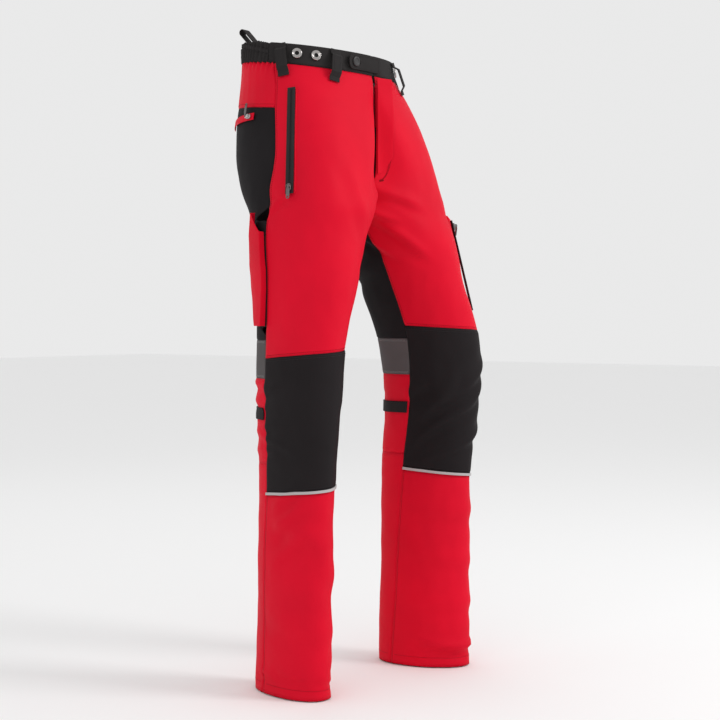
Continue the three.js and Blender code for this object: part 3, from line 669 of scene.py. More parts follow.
def rims(bm: bmesh.types.BMesh) -> list[list[bmesh.types.BMVert]]:
    """The open edges of a sheet, as rings of vertices with the cloth on their left.

    Args:
        bm: The sheet.

    Returns:
        One list of vertices for each ring.
    """
    after = {}
    for edge in bm.edges:
        if edge.is_boundary:
            loop = edge.link_loops[0]
            after[loop.vert] = loop.link_loop_next.vert
    rings = []
    while after:
        start, here = after.popitem()
        ring = [start]
        while here in after:
            ring.append(here)
            here = after.pop(here)
        rings.append(ring)
    return rings


def inward(ring: list[Vector], normals: list[Vector], i: int) -> Vector:
    """The direction along the cloth, away from its edge, at one point of a ring."""
    run = ring[(i + 1) % len(ring)] - ring[i - 1]
    return normals[i].cross(run).normalized()


FREE = "(open edge)"
STRIPS = ("waistband", "knee_strap", "reflective", "back_yoke", "knee_hollow")


@dataclass
class Cloth:
    """One cut piece of cloth, from its solid in the frame to the finished piece.

    Attributes:
        node: The solid's name in the frame.
        finish: Its fabric.
        across_cuts: Extra columns between the solid's own.
        levels: Smoothing levels.
        thickness: Thickness of the finished cloth.
        sewn: Whether its edges meet the neighbours' edges.
        target: Whether neighbours' edges may be sewn to this one.
        shape: A further lift of the cloth at a point, for gathers, bags and quilting.
        groove: How far a sewn edge dips.
        creased: Whether it takes the drape's folds.
    """

    node: str
    finish: Fabric
    across_cuts: int = 0
    levels: int = 3
    thickness: float = 1.6 * MM
    sewn: bool = True
    target: bool = True
    shape: Callable[[Vector], float] | None = None
    groove: float = 0.9 * MM
    creased: bool = True
    bm: bmesh.types.BMesh | None = None
    rings: list = field(default_factory=list)
    seams: dict = field(default_factory=dict)
    tree: BVHTree | None = None

    def cut(self, frame: dict) -> None:
        """Cuts the sheet from the solid and smooths it.

        Args:
            frame: The loaded frame.
        """
        bm = outer_face(frame["nodes"][self.node])
        if self.across_cuts:
            edges = [e for e in bm.edges if not steep(e)]
            bmesh.ops.subdivide_edges(bm, edges=edges, cuts=self.across_cuts,
                                      use_grid_fill=True)
        obj = new_object(self.node + "_cut", mesh_of(bm, self.node))
        rounding = obj.modifiers.new("smooth", "SUBSURF")
        rounding.levels = rounding.render_levels = self.levels
        rounding.boundary_smooth = "PRESERVE_CORNERS"
        apply_modifiers(obj)
        self.bm = bmesh.new()
        self.bm.from_mesh(obj.data)
        bpy.data.objects.remove(obj)
        self.bm.normal_update()
        self.rings = rims(self.bm)

    def sew(self, index: "SeamIndex") -> None:
        """Moves the edges of the sheet to meet those of its neighbours.

        Args:
            index: Where all the edges lie before any is moved.
        """
        for ring in self.rings:
            for vert in ring:
                found = index.nearest(vert.co, self.node) if self.sewn else None
                if found is None:
                    self.seams.setdefault(FREE, []).append(vert)
                    continue
                point, neighbour = found
                self.seams.setdefault(neighbour, []).append(vert)
                vert.co = (vert.co + point) / 2
        self.bm.normal_update()

    def dress(self, folds: Drape) -> None:
        """Creases the sheet, dips its sewn edges and lays its thread directions.

        Args:
            folds: The trousers' drape.
        """
        edge_of = {v for ring in self.rings for v in ring}
        sewn = {v for name, verts in self.seams.items() if name != FREE for v in verts}
        near = {w for v in sewn for e in v.link_edges for w in e.verts} - edge_of
        moves = []
        for vert in self.bm.verts:
            lift = folds.lift(vert.co) if self.creased else 0.0
            if self.shape:
                lift += self.shape(vert.co)
            if vert in sewn:
                lift -= self.groove
            elif vert in near:
                lift -= 0.25 * self.groove
            moves.append(vert.normal * lift)
        for vert, move in zip(self.bm.verts, moves):
            vert.co += move
        self.bm.normal_update()
        self.tree = BVHTree.FromBMesh(self.bm)
        self._lay_threads()

    def _lay_threads(self) -> None:
        """Gives the cloth a map of its own surface in metres."""
        layer = self.bm.loops.layers.uv.new("cloth")
        centre = sum((v.co for v in self.bm.verts), Vector()) / len(self.bm.verts)
        behind = abs(around(centre)[0]) > 90
        for face in self.bm.faces:
            for loop in face.loops:
                angle, _, z = around(loop.vert.co)
                if behind and angle < 0:
                    angle += 360
                loop[layer].uv = (math.radians(angle) * 0.085, z)

    def edge_rows(
        self, neighbours: Iterable[str], inset: float
    ) -> list[tuple[list[Vector], list[Vector]]]:
        """Lines that follow the sheet's edge at a distance from it.

        Args:
            neighbours: Names, or parts of names, of the cloths on the other side.
            inset: Distance from the edge.

        Returns:
            For each run of edge, the points on the cloth and its outward directions.
        """
        wanted = {
            v for name, verts in self.seams.items() for v in verts
            if any(word in name for word in neighbours)
        }
        rows = []
        for ring in self.rings:
            flags = [v in wanted for v in ring]
            if not any(flags):
                continue
            start = flags.index(False) if not all(flags) else 0
            order = [(start + i) % len(ring) for i in range(len(ring))]
            points = [v.co for v in ring]
            normals = [v.normal for v in ring]
            run: list[Vector] = []
            for i in order + [None]:
                if i is not None and flags[i]:
                    run.append(points[i] + inward(points, normals, i) * inset)
                    continue
                if len(run) > 6:
                    rows.append(self._settle(run[1:-1]))
                run = []
        return rows

    def _settle(self, points: list[Vector]) -> tuple[list[Vector], list[Vector]]:
        """Evens out a line and lays it on the cloth.

        Args:
            points: The line.

        Returns:
            The points on the cloth and its outward directions there.
        """
        for _ in range(4):
            middles = [(a + b * 2 + c) / 4 for a, b, c in zip(points, points[1:], points[2:])]
            points = [points[0], *middles, points[-1]]
        hits = [self.tree.find_nearest(p) for p in points]
        return [h[0] for h in hits], [h[1] for h in hits]

    def hang(self) -> bpy.types.Object:
        """Gives the sheet its thickness and makes it a piece.

        Returns:
            The finished piece.
        """
        smooth(self.bm)
        piece = new_object(self.node + "_cloth", mesh_of(self.bm.copy(), self.node))
        wall = piece.modifiers.new("wall", "SOLIDIFY")
        wall.thickness = self.thickness
        wall.offset = -1.0
        wall.use_even_offset = False
        apply_modifiers(piece)
        paint(piece, self.finish)
        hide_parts(self.node)
        return piece

    def flat_size(self) -> tuple[tuple[float, float], float]:
        """The size that the cloth was cut to.

        Returns:
            Width and length of the cut, and its area.
        """
        area = sum(f.calc_area() for f in self.bm.faces)
        if self.node.startswith(STRIPS):
            ring = max(self.rings, key=len)
            half = sum((a.co - b.co).length for a, b in zip(ring, ring[1:] + ring[:1])) / 2
            long = half / 2 + math.sqrt(max(0.0, half**2 / 4 - area))
            wide = max(area / long, LEAST_FLAT + 0.0004)
            return (long, wide), min(area, long * wide)
        lo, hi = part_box(self.node)
        length = max((hi.z - lo.z) * 1.03, 0.01)
        width = max(area / length, 0.005)
        spread = max(1.0, min(1.6, self._widest() / width))
        return (width * spread, length), min(area, width * spread * length)

    def _widest(self) -> float:
        """The longest level run across the cloth."""
        rows: dict[int, list[Vector]] = {}
        for vert in self.bm.verts:
            rows.setdefault(round(vert.co.z / 0.02), []).append(vert.co)
        best = 0.0
        for points in rows.values():
            angles = sorted((around(p)[0] % 360, p) for p in points)
            turns = [math.radians(b[0] - a[0]) for a, b in zip(angles, angles[1:])]
            if turns:
                radius = sum(around(p)[1] for p in points) / len(points)
                gap = max(max(turns), math.tau - sum(turns))
                best = max(best, (math.tau - gap) * radius)
        return best


class SeamIndex:
    """Finds the nearest edge of another cloth."""

    reach = 6.5 * MM

    def __init__(self, cloths: Iterable[Cloth]) -> None:
        """Remembers the edges of the cloths as they are now.

        Args:
            cloths: The cloths whose edges can be sewn to.
        """
        self.points: list[Vector] = []
        self.owner: list[str] = []
        self.ahead: list[int] = []
        self.back: list[int] = []
        for cloth in cloths:
            for ring in cloth.rings:
                first = len(self.points)
                count = len(ring)
                for i, vert in enumerate(ring):
                    self.points.append(vert.co.copy())
                    self.owner.append(cloth.node)
                    self.ahead.append(first + (i + 1) % count)
                    self.back.append(first + (i - 1) % count)
        self.tree = KDTree(len(self.points))
        for i, point in enumerate(self.points):
            self.tree.insert(point, i)
        self.tree.balance()

    def nearest(self, p: Vector, own: str) -> tuple[Vector, str] | None:
        """The nearest place on another cloth's edge.

        Args:
            p: A point on a cloth's edge.
            own: That cloth's name.

        Returns:
            The place and the other cloth's name, or None where nothing is in reach.
        """
        best = None
        for _, i, _ in self.tree.find_range(p, self.reach):
            if self.owner[i] == own:
                continue
            for j in (self.ahead[i], self.back[i]):
                a, b = self.points[i], self.points[j]
                run = b - a
                t = min(1.0, max(0.0, (p - a).dot(run) / max(run.length_squared, 1e-12)))
                q = a + run * t
                d = (q - p).length
                if d <= self.reach and (best is None or d < best[0]):
                    best = (d, q, self.owner[i])
        return None if best is None else (best[1], best[2])


# ---------------------------------------------------------------- stitches


@dataclass
class Thread:
    """Rows of stitches on one piece, kept as one mesh.

    Attributes:
        name: The piece's name.
        finish: The thread.
        pitch: Distance from stitch to stitch.
        length: Length of a stitch that shows.
        radius: Half the thread's thickness.
    """

    name: str
    finish: Fabric
    pitch: float = 3.4 * MM
    length: float = 2.5 * MM
    radius: float = 0.36 * MM
    beads: list[tuple[Vector, Vector, Vector]] = field(default_factory=list)
    sizes: list[tuple[float, float]] = field(default_factory=list)

    def row(self, points: list[Vector], normals: list[Vector]) -> None:
        """Sews a row along a line.

        Args:
            points: The line.
            normals: The cloth's outward direction at each point.
        """
        left = self.pitch / 2
        for a, b, n in zip(points, points[1:], normals):
            run = b - a
            span = run.length
            if span < 1e-7:
                continue
            while left <= span:
                self.beads.append((a + run * (left / span), run / span, n))
                self.sizes.append((self.length, self.radius))
                left += self.pitch
            left -= span

    def done(self) -> bpy.types.Object | None:
        """Makes the rows a piece.

        Returns:
            The piece, or None if nothing was sewn.
        """
        if not self.beads:
            return None
        bm = bmesh.new()
        for (place, along, out), (length, radius) in zip(self.beads, self.sizes):
            side = out.cross(along)
            if side.length < 1e-6:
                continue
            side.normalize()
            up = along.cross(side)
            rings = []
            for t, girth in ((-0.5, 0.55), (-0.25, 1.0), (0.25, 1.0), (0.5, 0.55)):
                middle = place + along * length * t + up * radius * 0.25
                rings.append([
                    bm.verts.new(middle + (side * x + up * y) * radius * girth)
                    for x, y in ((1, -0.6), (0.6, 0.7), (-0.6, 0.7), (-1, -0.6))
                ])
            skin(bm, rings)
        bmesh.ops.recalc_face_normals(bm, faces=bm.faces)
        layer = bm.loops.layers.uv.new("cloth")
        smooth(bm)
        for face in bm.faces:
            for loop in face.loops:
                loop[layer].uv = (loop.vert.co.x + loop.vert.co.y, loop.vert.co.z)
        obj = new_object(self.name, mesh_of(bm, self.name))
        paint(obj, self.finish)
        return obj


# ---------------------------------------------------------------- cut and sewn panels


def on_body(piece: bpy.types.Object, node: str) -> None:
    """Fixes a piece to the body that a solid belongs to; for a knee piece, bakes its place into
    its mesh and fixes it to no body.

    Args:
        piece: The piece.
        node: The solid's name.
    """
    side = "left" if node.endswith("left") else "right"
    if node.startswith(("knee_patch", "knee_hollow", "knee_back", "knee_strap")):
        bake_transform(piece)
    elif node.startswith(("shin_panel", "calf_panel", "cut_pad_shin", "reflective")):
        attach(piece, side + "_shin")
    else:
        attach(piece, "trousers")


def quilted(p: Vector) -> float:
    """Lift of the cut protection between its lines of quilting."""
    angle, radius, z = around(p)
    across = math.sin(math.radians(angle) * radius * math.pi / 0.045)
    return 1.1 * MM * (abs(across) - 0.6)


def gathered_band(p: Vector) -> float:
    """Lift of the elastic waistband: three channels with gathers."""
    level = p.z - band_middle(p)
    run = math.atan2(p.x, p.y) * 0.14
    wave = math.sin(run * 2 * math.pi / 0.0078 + 2.2 * noise.noise(Vector((run * 60, 0.3, 0))))
    wave *= 0.75 + 0.5 * noise.noise(Vector((run * 90, level * 90, 5)))
    narrow = math.exp(-((level - 0.001) / 0.0032) ** 2)
    seam = sum(math.exp(-((level - at) / 0.0011) ** 2) for at in (0.0055, -0.0035))
    return (2.1 * wave * (1 - 0.8 * narrow) - 1.7 * seam + 0.5 * wave * narrow) * MM


def band_middle(p: Vector) -> float:
    """Height of the waistband's middle line at a point of the back."""
    lo, hi = Shape.band
    share = (p.y - lo[1]) / (hi[1] - lo[1])
    return lo[2] + BAND_HALF + (hi[2] - lo[2] - 2 * BAND_HALF) * share


def yoke_gathers(p: Vector) -> float:
    """Lift of the yoke's top edge, where the elastic draws it in."""
    top = band_middle(p) - BAND_HALF
    depth = max(0.0, top - p.z)
    run = math.atan2(p.x, p.y) * 0.15
    wave = math.sin(run * 2 * math.pi / 0.0105 + 3 * noise.noise(Vector((run * 40, 1.1, 0))))
    return 2.2 * MM * wave * math.exp(-((depth / 0.012) ** 2))


def raised_edging(_: Vector) -> float:
    """Lift that makes the reflective edging stand proud all along."""
    return 0.8 * MM


def panels() -> list[Cloth]:
    """Every cut piece of the trousers, with its fabric."""
    made = []
    for side in SIDES:
        side_cloth = RED if side == "left" else BLACK
        made += [
            Cloth(f"front_panel_{side}", RED),
            Cloth(f"seat_panel_{side}", BLACK),
            Cloth(f"back_yoke_{side}", RED, across_cuts=2, shape=yoke_gathers),
            Cloth(f"thigh_side_panel_{side}", side_cloth),
            Cloth(f"knee_patch_{side}", PATCH),
            Cloth(f"knee_hollow_panel_{side}", GREY),
            Cloth(f"knee_back_panel_{side}", RED),
            Cloth(f"shin_panel_{side}", RED),
            Cloth(f"calf_panel_{side}", RED),
            Cloth(f"waistband_front_{side}", BAND, creased=False),
            Cloth(f"knee_strap_{side}", STRAP, sewn=False, target=False, across_cuts=1,
                  thickness=1.3 * MM),
            Cloth(f"reflective_piping_{side}", PIPING, sewn=False, target=False,
                  shape=raised_edging, thickness=2.4 * MM),
            Cloth(f"cut_pad_thigh_{side}", WADDING, sewn=False, target=False, shape=quilted,
                  thickness=4.0 * MM),
            Cloth(f"cut_pad_shin_{side}", WADDING, sewn=False, target=False, shape=quilted,
                  thickness=4.0 * MM),
        ]
    made.append(Cloth("waistband_back", BAND, across_cuts=3, shape=gathered_band,
                      creased=False))
    return made


@dataclass(frozen=True)
class Seam:
    """Topstitching beside one seam.

    Attributes:
        cloth: Start of the names of the cloths that it runs on.
        beside: Parts of the names of what is sewn on there, or the open edge.
        insets: Distances of the rows from the edge.
        thread: The thread's finish.
        z: Heights that it runs between, in metres.
    """

    cloth: str
    beside: tuple[str, ...]
    insets: tuple[float, ...]
    thread: Fabric
    z: tuple[float, float] = (-2.0, 1.0)


SEAMS = (
    Seam("back_yoke", ("seat_panel",), (0.0055,), RED_THREAD),
    Seam("front_panel", ("seat_panel", "thigh_side", "back_yoke"), (0.0035,), RED_THREAD),
    Seam("front_panel", ("knee_patch",), (0.0040,), RED_THREAD),
    Seam("knee_patch", ("front_panel", "shin_panel"), (0.0035, 0.0065), BLACK_THREAD),
    Seam("knee_hollow", ("seat_panel", "knee_back"), (0.0028, 0.0048), GREY_THREAD),
    Seam("shin_panel", ("calf_panel",), (0.0035,), RED_THREAD),
    Seam("shin_panel", (FREE,), (0.016,), RED_THREAD, (-1.08, -1.03)),
    Seam("calf_panel", (FREE,), (0.016,), RED_THREAD, (-1.08, -1.03)),
    Seam("seat_panel", ("seat_panel",), (0.0030,), BLACK_THREAD),
    Seam("knee_strap", (FREE,), (0.0022,), BLACK_THREAD),
    Seam("waistband_front", ("front_panel",), (0.0028,), BLACK_THREAD),
)


class Wardrobe:
    """All the sewn cloth of the trousers and the thread on it."""

    def __init__(self, frame: dict) -> None:
        """Cuts, sews and hangs every panel.

        Args:
            frame: The loaded frame.
        """
        self.cloths = {cloth.node: cloth for cloth in panels()}
        self.threads: dict[str, list[bpy.types.Object]] = {}
        self.drape = drape()
        for cloth in self.cloths.values():
            cloth.cut(frame)
        index = SeamIndex(c for c in self.cloths.values() if c.target)
        for cloth in self.cloths.values():
            cloth.sew(index)
        for cloth in self.cloths.values():
            cloth.dress(self.drape)
        log.info("sewn %d cloths", len(self.cloths))
        self._topstitch()
        self._fly_stitch()
        for cloth in self.cloths.values():
            self._finish(cloth)

    def _topstitch(self) -> None:
        """Sews the rows beside the seams."""
        for node, cloth in self.cloths.items():
            rows: dict[str, Thread] = {}
            for seam in SEAMS:
                if not node.startswith(seam.cloth):
                    continue
                thread = rows.setdefault(
                    seam.thread.name, Thread(f"{node}_{seam.thread.name.split()[0]}_stitches",
                                             seam.thread))
                for inset in seam.insets:
                    for points, normals in cloth.edge_rows(seam.beside, inset):
                        middle = sum(p.z for p in points) / len(points)
                        if seam.z[0] < middle < seam.z[1]:
                            thread.row(points, normals)
            self._keep(node, rows.values())

    def _keep(self, node: str, threads: Iterable[Thread]) -> None:
        """Finishes threads and fixes them where their cloth is."""
        for thread in threads:
            piece = thread.done()
            if piece:
                on_body(piece, node)
                self.threads.setdefault(node, []).append(piece)

    def lay(self, node: str, points: Iterable[Vector]) -> tuple[list[Vector], list[Vector]]:
        """Lays a line on a cloth.

        Args:
            node: The cloth.
            points: The line.

        Returns:
            The points on the cloth and its outward directions there.
        """
        hits = [self.cloths[node].tree.find_nearest(p) for p in points]
        return [h[0] for h in hits], [h[1] for h in hits]

    def _fly_stitch(self) -> None:
        """Sews the two curved rows of the fly and their bar tacks on the left front."""
        thread = Thread("fly_stitches", RED_THREAD, 2.8 * MM, 1.9 * MM, 0.6 * MM)
        for step in (0.0, 0.0032):
            line = []
            for i in range(121):
                t = i / 120
                z = -0.034 - 0.176 * t
                bend = max(0.0, (t - 0.72) / 0.28)
                x = 0.033 - step - (0.027 - step) * (1 - math.sqrt(max(0.0, 1 - bend**2)))
                line.append(Vector((x, -0.13, z)))
            thread.row(*self.lay("front_panel_left", line))
        for x, z, dx, dz in ((0.010, -0.211, 0.009, 0.001), (0.0315, -0.150, 0.007, -0.004),
                             (0.0315, -0.040, 0.007, 0.0)):
            bar = [Vector((x + dx * (k / 24 - 0.5), -0.13, z + dz * (k / 24 - 0.5)
                           + (0.0007 if k % 2 else -0.0007))) for k in range(25)]
            thread.pitch, thread.length = 0.8 * MM, 1.5 * MM
            thread.row(*self.lay("front_panel_left", bar))
        self._keep("front_panel_left", [thread])

    def _finish(self, cloth: Cloth) -> None:
        """Args:
            cloth: The cloth.
        """
        flat, area = cloth.flat_size()
        piece = cloth.hang()
        on_body(piece, cloth.node)
        if cloth.finish is WADDING:
            return
        log.info("%s flat %.3f x %.3f, area %.4f", cloth.node, *flat, area)
        tuple(round(max(side, LEAST_FLAT), 4) for side in flat)
        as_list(self.threads.get(cloth.node, []))


# ---------------------------------------------------------------- made-up pieces


def cloth_map(mesh: bpy.types.Mesh) -> None:
    """Gives a mesh a map of its surface in metres, from the way each face looks."""
    layer = mesh.uv_layers.new(name="cloth")
    for face in mesh.polygons:
        n = face.normal
        for i in face.loop_indices:
            p = mesh.vertices[mesh.loops[i].vertex_index].co
            across = p.y if abs(n.x) > abs(n.y) else p.x
            layer.data[i].uv = (across, p.z if abs(n.z) < 0.8 else p.y)


@dataclass
class MadeUp:
    """A piece rounded off from its solid: loops, tabs, pockets, sliders.

    Attributes:
        node: The solid.
        finish: Its finish.
        body: The body that it rides on.
        edge: How far its edges are rounded.
        levels: How many times its faces are halved, so that it can take folds.
        creased: Whether it takes the drape's folds.
    """

    node: str
    finish: Fabric | Hard
    body: str = "trousers"
    edge: float = 0.5 * MM
    levels: int = 0
    creased: bool = False

    def build(self, frame: dict, folds: Drape) -> bpy.types.Object:
        """Makes the piece.

        Args:
            frame: The loaded frame.
            folds: The trousers' drape.

        Returns:
            The piece.
        """
        bm = bmesh.new()
        bm.from_mesh(frame["nodes"][self.node].data)
        bmesh.ops.remove_doubles(bm, verts=bm.verts, dist=MERGE)
        bmesh.ops.join_triangles(bm, faces=bm.faces, angle_face_threshold=0.2,
                                 angle_shape_threshold=1.2)
        sharp = [e for e in bm.edges if e.is_manifold and e.calc_face_angle(0) > 0.7]
        bmesh.ops.bevel(bm, geom=sharp, offset=self.edge, offset_type="OFFSET", segments=3,
                        profile=0.5, affect="EDGES", clamp_overlap=True, material=-1)
        if self.levels:
            long = [e for e in bm.edges if e.calc_length() > 4 * MM]
            bmesh.ops.subdivide_edges(bm, edges=long, cuts=2**self.levels - 1,
                                      use_grid_fill=True)
            bmesh.ops.triangulate(bm, faces=[f for f in bm.faces if len(f.verts) > 4])
        bm.normal_update()
        moves = []
        for vert in bm.verts:
            lift = folds.lift(vert.co) if self.creased else 0.0
            out = (vert.co - leg_core(vert.co)).normalized()
            moves.append(Vector((out.x, out.y, 0)) * lift)
        for vert, move in zip(bm.verts, moves):
            vert.co += move
        smooth(bm)
        piece = new_object(self.node + "_made", mesh_of(bm, self.node))
        cloth_map(piece.data)
        paint(piece, self.finish)
        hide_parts(self.node)
        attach(piece, self.body)
        if isinstance(self.finish, Fabric):
            lo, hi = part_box(self.node)
        return piece


def made_up() -> list[MadeUp]:
    """Every piece that is rounded off from its solid."""
    made = [
        MadeUp("brace_loop", STRAP, edge=0.7 * MM),
        MadeUp("waist_tab", BAND, "waist_tab", edge=0.8 * MM),
        MadeUp("waist_button", PLASTIC, edge=1.0 * MM),
        MadeUp("fly_facing", RED, edge=0.6 * MM, levels=1, creased=True),
        MadeUp("fly_zip_tape", TAPE, edge=0.3 * MM),
        MadeUp("rear_zip_tape", RED, edge=0.3 * MM),
        MadeUp("cargo_zip_tape", TAPE, edge=0.3 * MM),
        MadeUp("tool_pocket", RED, edge=0.7 * MM, levels=2, creased=True),
        MadeUp("cargo_pocket", RED, edge=0.7 * MM, levels=2, creased=True),
    ]
    for side in SIDES:
        made += [
            MadeUp(f"belt_loop_front_{side}", BAND, edge=0.8 * MM),
            MadeUp(f"belt_loop_side_{side}", BAND, edge=0.8 * MM),
            MadeUp(f"hip_zip_tape_{side}", TAPE, edge=0.3 * MM),
        ]
    for zip_name in ("hip_zip_right", "hip_zip_left", "fly_zip", "rear_zip", "cargo_zip"):
        for part in ("slider", "pull"):
            metal = NICKEL if (zip_name, part) == ("rear_zip", "slider") else GUNMETAL
            made.append(MadeUp(f"{zip_name}_{part}", metal, f"{zip_name}_{part}",
                               edge=0.35 * MM))
    return made


@dataclass(frozen=True)
class Plane:
    """The flat lie of a solid.

    Attributes:
        middle: Its middle.
        long: Direction of its length.
        wide: Direction of its width.
        out: Direction away from the wearer.
        reach: Half its length and half its width.
    """

    middle: Vector
    long: Vector
    wide: Vector
    out: Vector
    reach: tuple[float, float]

    @classmethod
    def of(cls, mesh: bpy.types.Mesh) -> "Plane":
        """Finds how a solid lies.

        Args:
            mesh: The solid.

        Returns:
            Its plane.
        """
        points = np.array([v.co for v in mesh.vertices])
        points = np.unique(points.round(5), axis=0)
        middle = points.mean(axis=0)
        _, _, axes = np.linalg.svd(points - middle)
        long, out = Vector(axes[0]), Vector(axes[2])
        if long.z < 0:
            long = -long
        if out.dot(Vector((middle[0], middle[1] + 0.06, 0))) < 0:
            out = -out
        wide = long.cross(out)
        spread = np.abs((points - middle) @ np.array(axes).T).max(axis=0)
        return cls(Vector(middle), long, wide, out, (float(spread[0]), float(spread[1])))

    def at(self, along: float, across: float, off: float = 0.0) -> Vector:
        """A point by its place on the plane.

        Args:
            along: Share of the half length.
            across: Share of the half width.
            off: Distance away from the wearer, in metres.

        Returns:
            The point.
        """
        return (self.middle + self.long * self.reach[0] * along
                + self.wide * self.reach[1] * across + self.out * off)


def stitch_piece(
    piece: bpy.types.Object, name: str, lines: Iterable[list[Vector]], finish: Fabric,
    body: str = "trousers",
) -> None:
    """Sews rows on a finished piece.

    Args:
        piece: The piece.
        name: Name for the rows.
        lines: The rows, near the piece.
        finish: The thread.
        body: The body that the piece rides on.
    """
    tree = surface(piece)
    thread = Thread(name, finish, 3.0 * MM, 2.1 * MM, 0.34 * MM)
    for line in lines:
        hits = [tree.find_nearest(p) for p in line]
        thread.row([h[0] for h in hits], [h[1] for h in hits])
    rows = thread.done()
    if rows:
        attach(rows, body)


def roll(name: str, points: list[Vector], radius: float, finish: Fabric) -> None:
    """Lays a round fold of cloth along a line.

    Args:
        name: The piece's name.
        points: The line.
        radius: Half its thickness.
        finish: Its cloth.
    """
    bm = bmesh.new()
    rings = []
    for i, p in enumerate(points):
        along = (points[min(i + 1, len(points) - 1)] - points[max(i - 1, 0)]).normalized()
        side = along.cross(Vector((0.3, 0.8, 0.1))).normalized()
        up = along.cross(side)
        girth = radius * (0.5 if i in (0, len(points) - 1) else 1.0)
        rings.append([
            bm.verts.new(p + (side * math.cos(a) + up * math.sin(a)) * girth)
            for a in (k * math.tau / 10 for k in range(10))
        ])
    skin(bm, rings)
    bmesh.ops.recalc_face_normals(bm, faces=bm.faces)
    smooth(bm)
    piece = new_object(name, mesh_of(bm, name))
    cloth_map(piece.data)
    paint(piece, finish)
    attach(piece, "trousers")


class Trimmings:
    """Coils of the zips, the welts beside them and the stitches on the loops and the tab."""

    def __init__(self, frame: dict, wardrobe: Wardrobe, pieces: dict) -> None:
        """Adds the trimmings.

        Args:
            frame: The loaded frame.
            wardrobe: The sewn cloth.
            pieces: The made-up pieces by their solids' names.
        """
        for side in SIDES:
            self._zip(frame, f"hip_zip_tape_{side}", pieces)
            self._welts(frame, wardrobe, side)
            for where in ("front", "side"):
                node = f"belt_loop_{where}_{side}"
                lie = Plane.of(frame["nodes"][node].data)
                lines = [[lie.at(t / 10, x, 0.02) for t in range(-9, 10)]
                         for x in (-0.55, 0.55)]
                stitch_piece(pieces[node], node + "_stitches", lines, BLACK_THREAD)
        self._zip(frame, "fly_zip_tape", pieces)
        self._zip(frame, "cargo_zip_tape", pieces)
        lie = Plane.of(frame["nodes"]["waist_tab"].data)
        border = [lie.at(0.93 * math.cos(a) / max(abs(math.cos(a)), abs(math.sin(a))),
                         0.80 * math.sin(a) / max(abs(math.cos(a)), abs(math.sin(a))), 0.004)
                  for a in (k * math.tau / 90 for k in range(91))]
        stitch_piece(pieces["waist_tab"], "waist_tab_stitches", [border], BLACK_THREAD,
                     "waist_tab")

    def _zip(self, frame: dict, node: str, pieces: dict) -> None:
        """Lays a zip's two rows of teeth on its tape."""
        lie = Plane.of(frame["nodes"][node].data)
        tree = surface(pieces[node])
        coil = Thread(node + "_teeth", TAPE, 1.3 * MM, 1.0 * MM, 0.85 * MM)
        for across in (-0.85, 0.85):
            points = [lie.at(t / 20 * 0.97, 0, 0.01) + lie.wide * across * MM
                      for t in range(-20, 21)]
            hits = [tree.find_nearest(p) for p in points]
            coil.row([h[0] for h in hits], [h[1] for h in hits])
        teeth = coil.done()
        if teeth:
            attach(teeth, "trousers")

    def _welts(self, frame: dict, wardrobe: Wardrobe, side: str) -> None:
        """Lays the two red welts beside a hip zip."""
        lie = Plane.of(frame["nodes"][f"hip_zip_tape_{side}"].data)
        for word, across in (("front", 1.0), ("rear", -1.0)):
            line = [lie.at(t / 24, 0, 0.002) + lie.wide * across * (lie.reach[1] + 1.2 * MM)
                    for t in range(-24, 25)]
            places, outs = wardrobe.lay(f"front_panel_{side}", line)
            roll(f"hip_zip_{side}_welt_{word}",
                 [p + n * 0.2 * MM for p, n in zip(places, outs)], 1.5 * MM, RED)


@dataclass(frozen=True)
class Stud:
    """A press stud for braces: a steel ring round a socket painted near black as painted shade
    for the shadow inside its hollow.

    Attributes:
        node: Its solid in the frame.
    """

    node: str

    def build(self, frame: dict) -> None:
        """Turns the stud about its own axis.

        Args:
            frame: The loaded frame.
        """
        solid = frame["nodes"][self.node].data
        points = np.array([v.co for v in solid.vertices])
        middle = points.mean(axis=0)
        _, _, axes = np.linalg.svd(points - middle)
        out = Vector(axes[2])
        if out.dot(Vector((middle[0], middle[1], 0))) < 0:
            out = -out
        reach = (points - middle) @ np.array(out)
        low, high = reach.min(), reach.max()
        radius = np.linalg.norm(np.cross(points - middle, np.array(out)), axis=1).max()
        bright = ((1.0, 0.0), (1.0, 0.45), (0.94, 0.8), (0.84, 1.0), (0.74, 0.92), (0.68, 0.66),
                  (0.60, 0.60), (0.52, 0.72), (0.46, 0.84), (0.41, 0.74), (0.38, 0.45))
        # The socket's near-black finish is painted shade for the shadow inside the hollow.
        shade_outline = ((0.38, 0.45), (0.36, 0.22), (0.24, 0.16), (0.0, 0.16))
        for word, outline, finish in (("ring", bright, STEEL), ("socket", shade_outline, SOCKET_PAINTED_SHADE)):
            bm = bmesh.new()
            line = [bm.verts.new((r * radius, 0, low + (high - low) * h)) for r, h in outline]
            edges = [bm.edges.new(pair) for pair in zip(line, line[1:])]
            bmesh.ops.spin(bm, geom=line + edges, angle=2 * math.pi, steps=40, cent=(0, 0, 0),
                           axis=(0, 0, 1), use_merge=True)
            bmesh.ops.remove_doubles(bm, verts=bm.verts, dist=1e-6)
            bmesh.ops.recalc_face_normals(bm, faces=bm.faces)
            turn = out.to_track_quat("Z", "Y").to_matrix().to_4x4()
            turn.translation = Vector(middle)
            bmesh.ops.transform(bm, matrix=turn, verts=bm.verts)
            bm.normal_update()
            if sum(f.normal.dot(out) for f in bm.faces) < 0:
                bmesh.ops.reverse_faces(bm, faces=bm.faces)
            smooth(bm)
            piece = new_object(f"{self.node}_{word}", mesh_of(bm, self.node))
            paint(piece, finish)
            if word == "ring":
                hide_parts(self.node)
            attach(piece, "trousers")


# ---------------------------------------------------------------- studio


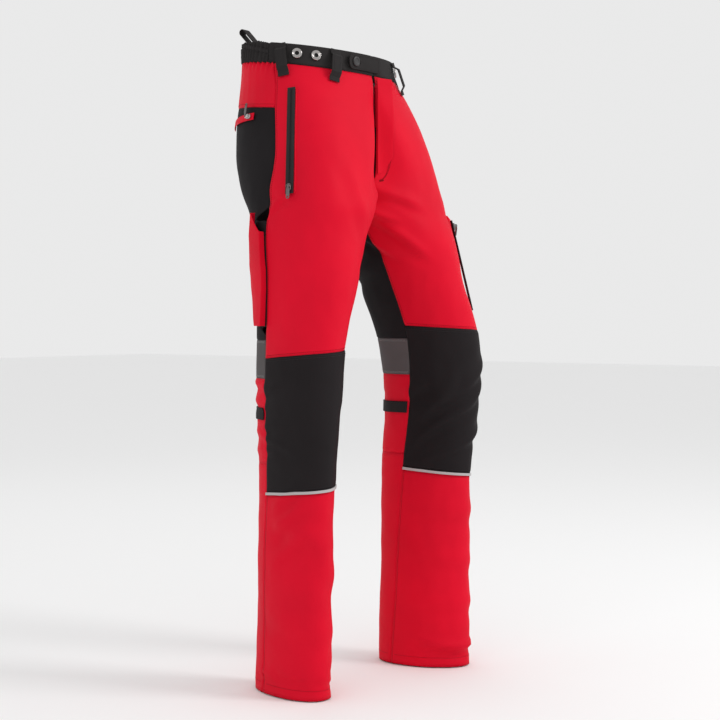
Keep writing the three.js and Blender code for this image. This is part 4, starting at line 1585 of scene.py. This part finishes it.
class Studio:
    """A pale floor, soft light from all sides and the camera."""

    def build(self) -> None:
        """Sets the studio up."""
        floor_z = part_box("calf_panel_right")[0][2]
        bpy.ops.mesh.primitive_plane_add(size=30, location=(0, 0, floor_z - 0.002))
        floor = bpy.context.object
        floor.name = "floor"
        paint = bpy.data.materials.new("floor paint")
        paint.use_nodes = True
        shader = paint.node_tree.nodes["Principled BSDF"]
        shader.inputs["Base Color"].default_value = PALE_PAINT
        shader.inputs["Roughness"].default_value = 0.9
        floor.data.materials.append(paint)
        world = bpy.data.worlds.new("studio")
        world.use_nodes = True
        world.node_tree.nodes["Background"].inputs[0].default_value = (1, 1, 1, 1)
        world.node_tree.nodes["Background"].inputs[1].default_value = 0.82
        bpy.context.scene.world = world
        aim = Vector((0, 0, -0.45))
        for name, place, size, power in (
            ("key", (0.9, -2.8, 1.7), 0.9, 38),
            ("side", (-2.9, -0.3, 0.6), 1.4, 2.5),
            ("fill", (1.8, -2.4, 0.3), 2.0, 5),
            ("back", (1.4, 2.2, 1.4), 1.8, 3),
        ):
            light = bpy.data.lights.new(name, "AREA")
            light.size = size
            light.energy = power
            lamp = bpy.data.objects.new(name, light)
            lamp.location = place
            lamp.rotation_euler = (Vector(place) - aim).to_track_quat("Z", "Y").to_euler()
            bpy.context.scene.collection.objects.link(lamp)
        lens = bpy.data.cameras.new("camera")
        lens.lens, lens.sensor_width, lens.shift_y = 75.08, 36, -0.0639
        lens.dof.use_dof = False
        camera = bpy.data.objects.new("camera", lens)
        camera.location = (-2.109, -1.622, -0.442)
        ahead = Vector((0.809, 0.588, 0))
        camera.rotation_euler = ahead.to_track_quat("-Z", "Y").to_euler()
        bpy.context.scene.collection.objects.link(camera)
        bpy.context.scene.camera = camera
        bpy.context.scene.view_settings.view_transform = "Standard"


def main() -> None:
    """Dresses the frame."""
    logging.basicConfig(level=logging.INFO, format="%(message)s")
    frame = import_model()
    Shape.read(frame["joints"])
    wardrobe = Wardrobe(frame)
    pieces = {made.node: made.build(frame, wardrobe.drape) for made in made_up()}
    Trimmings(frame, wardrobe, pieces)
    for side in SIDES:
        for row in ("inner", "outer"):
            Stud(f"brace_stud_{row}_{side}").build(frame)
    Studio().build()


if __name__ == "__main__":
    main()
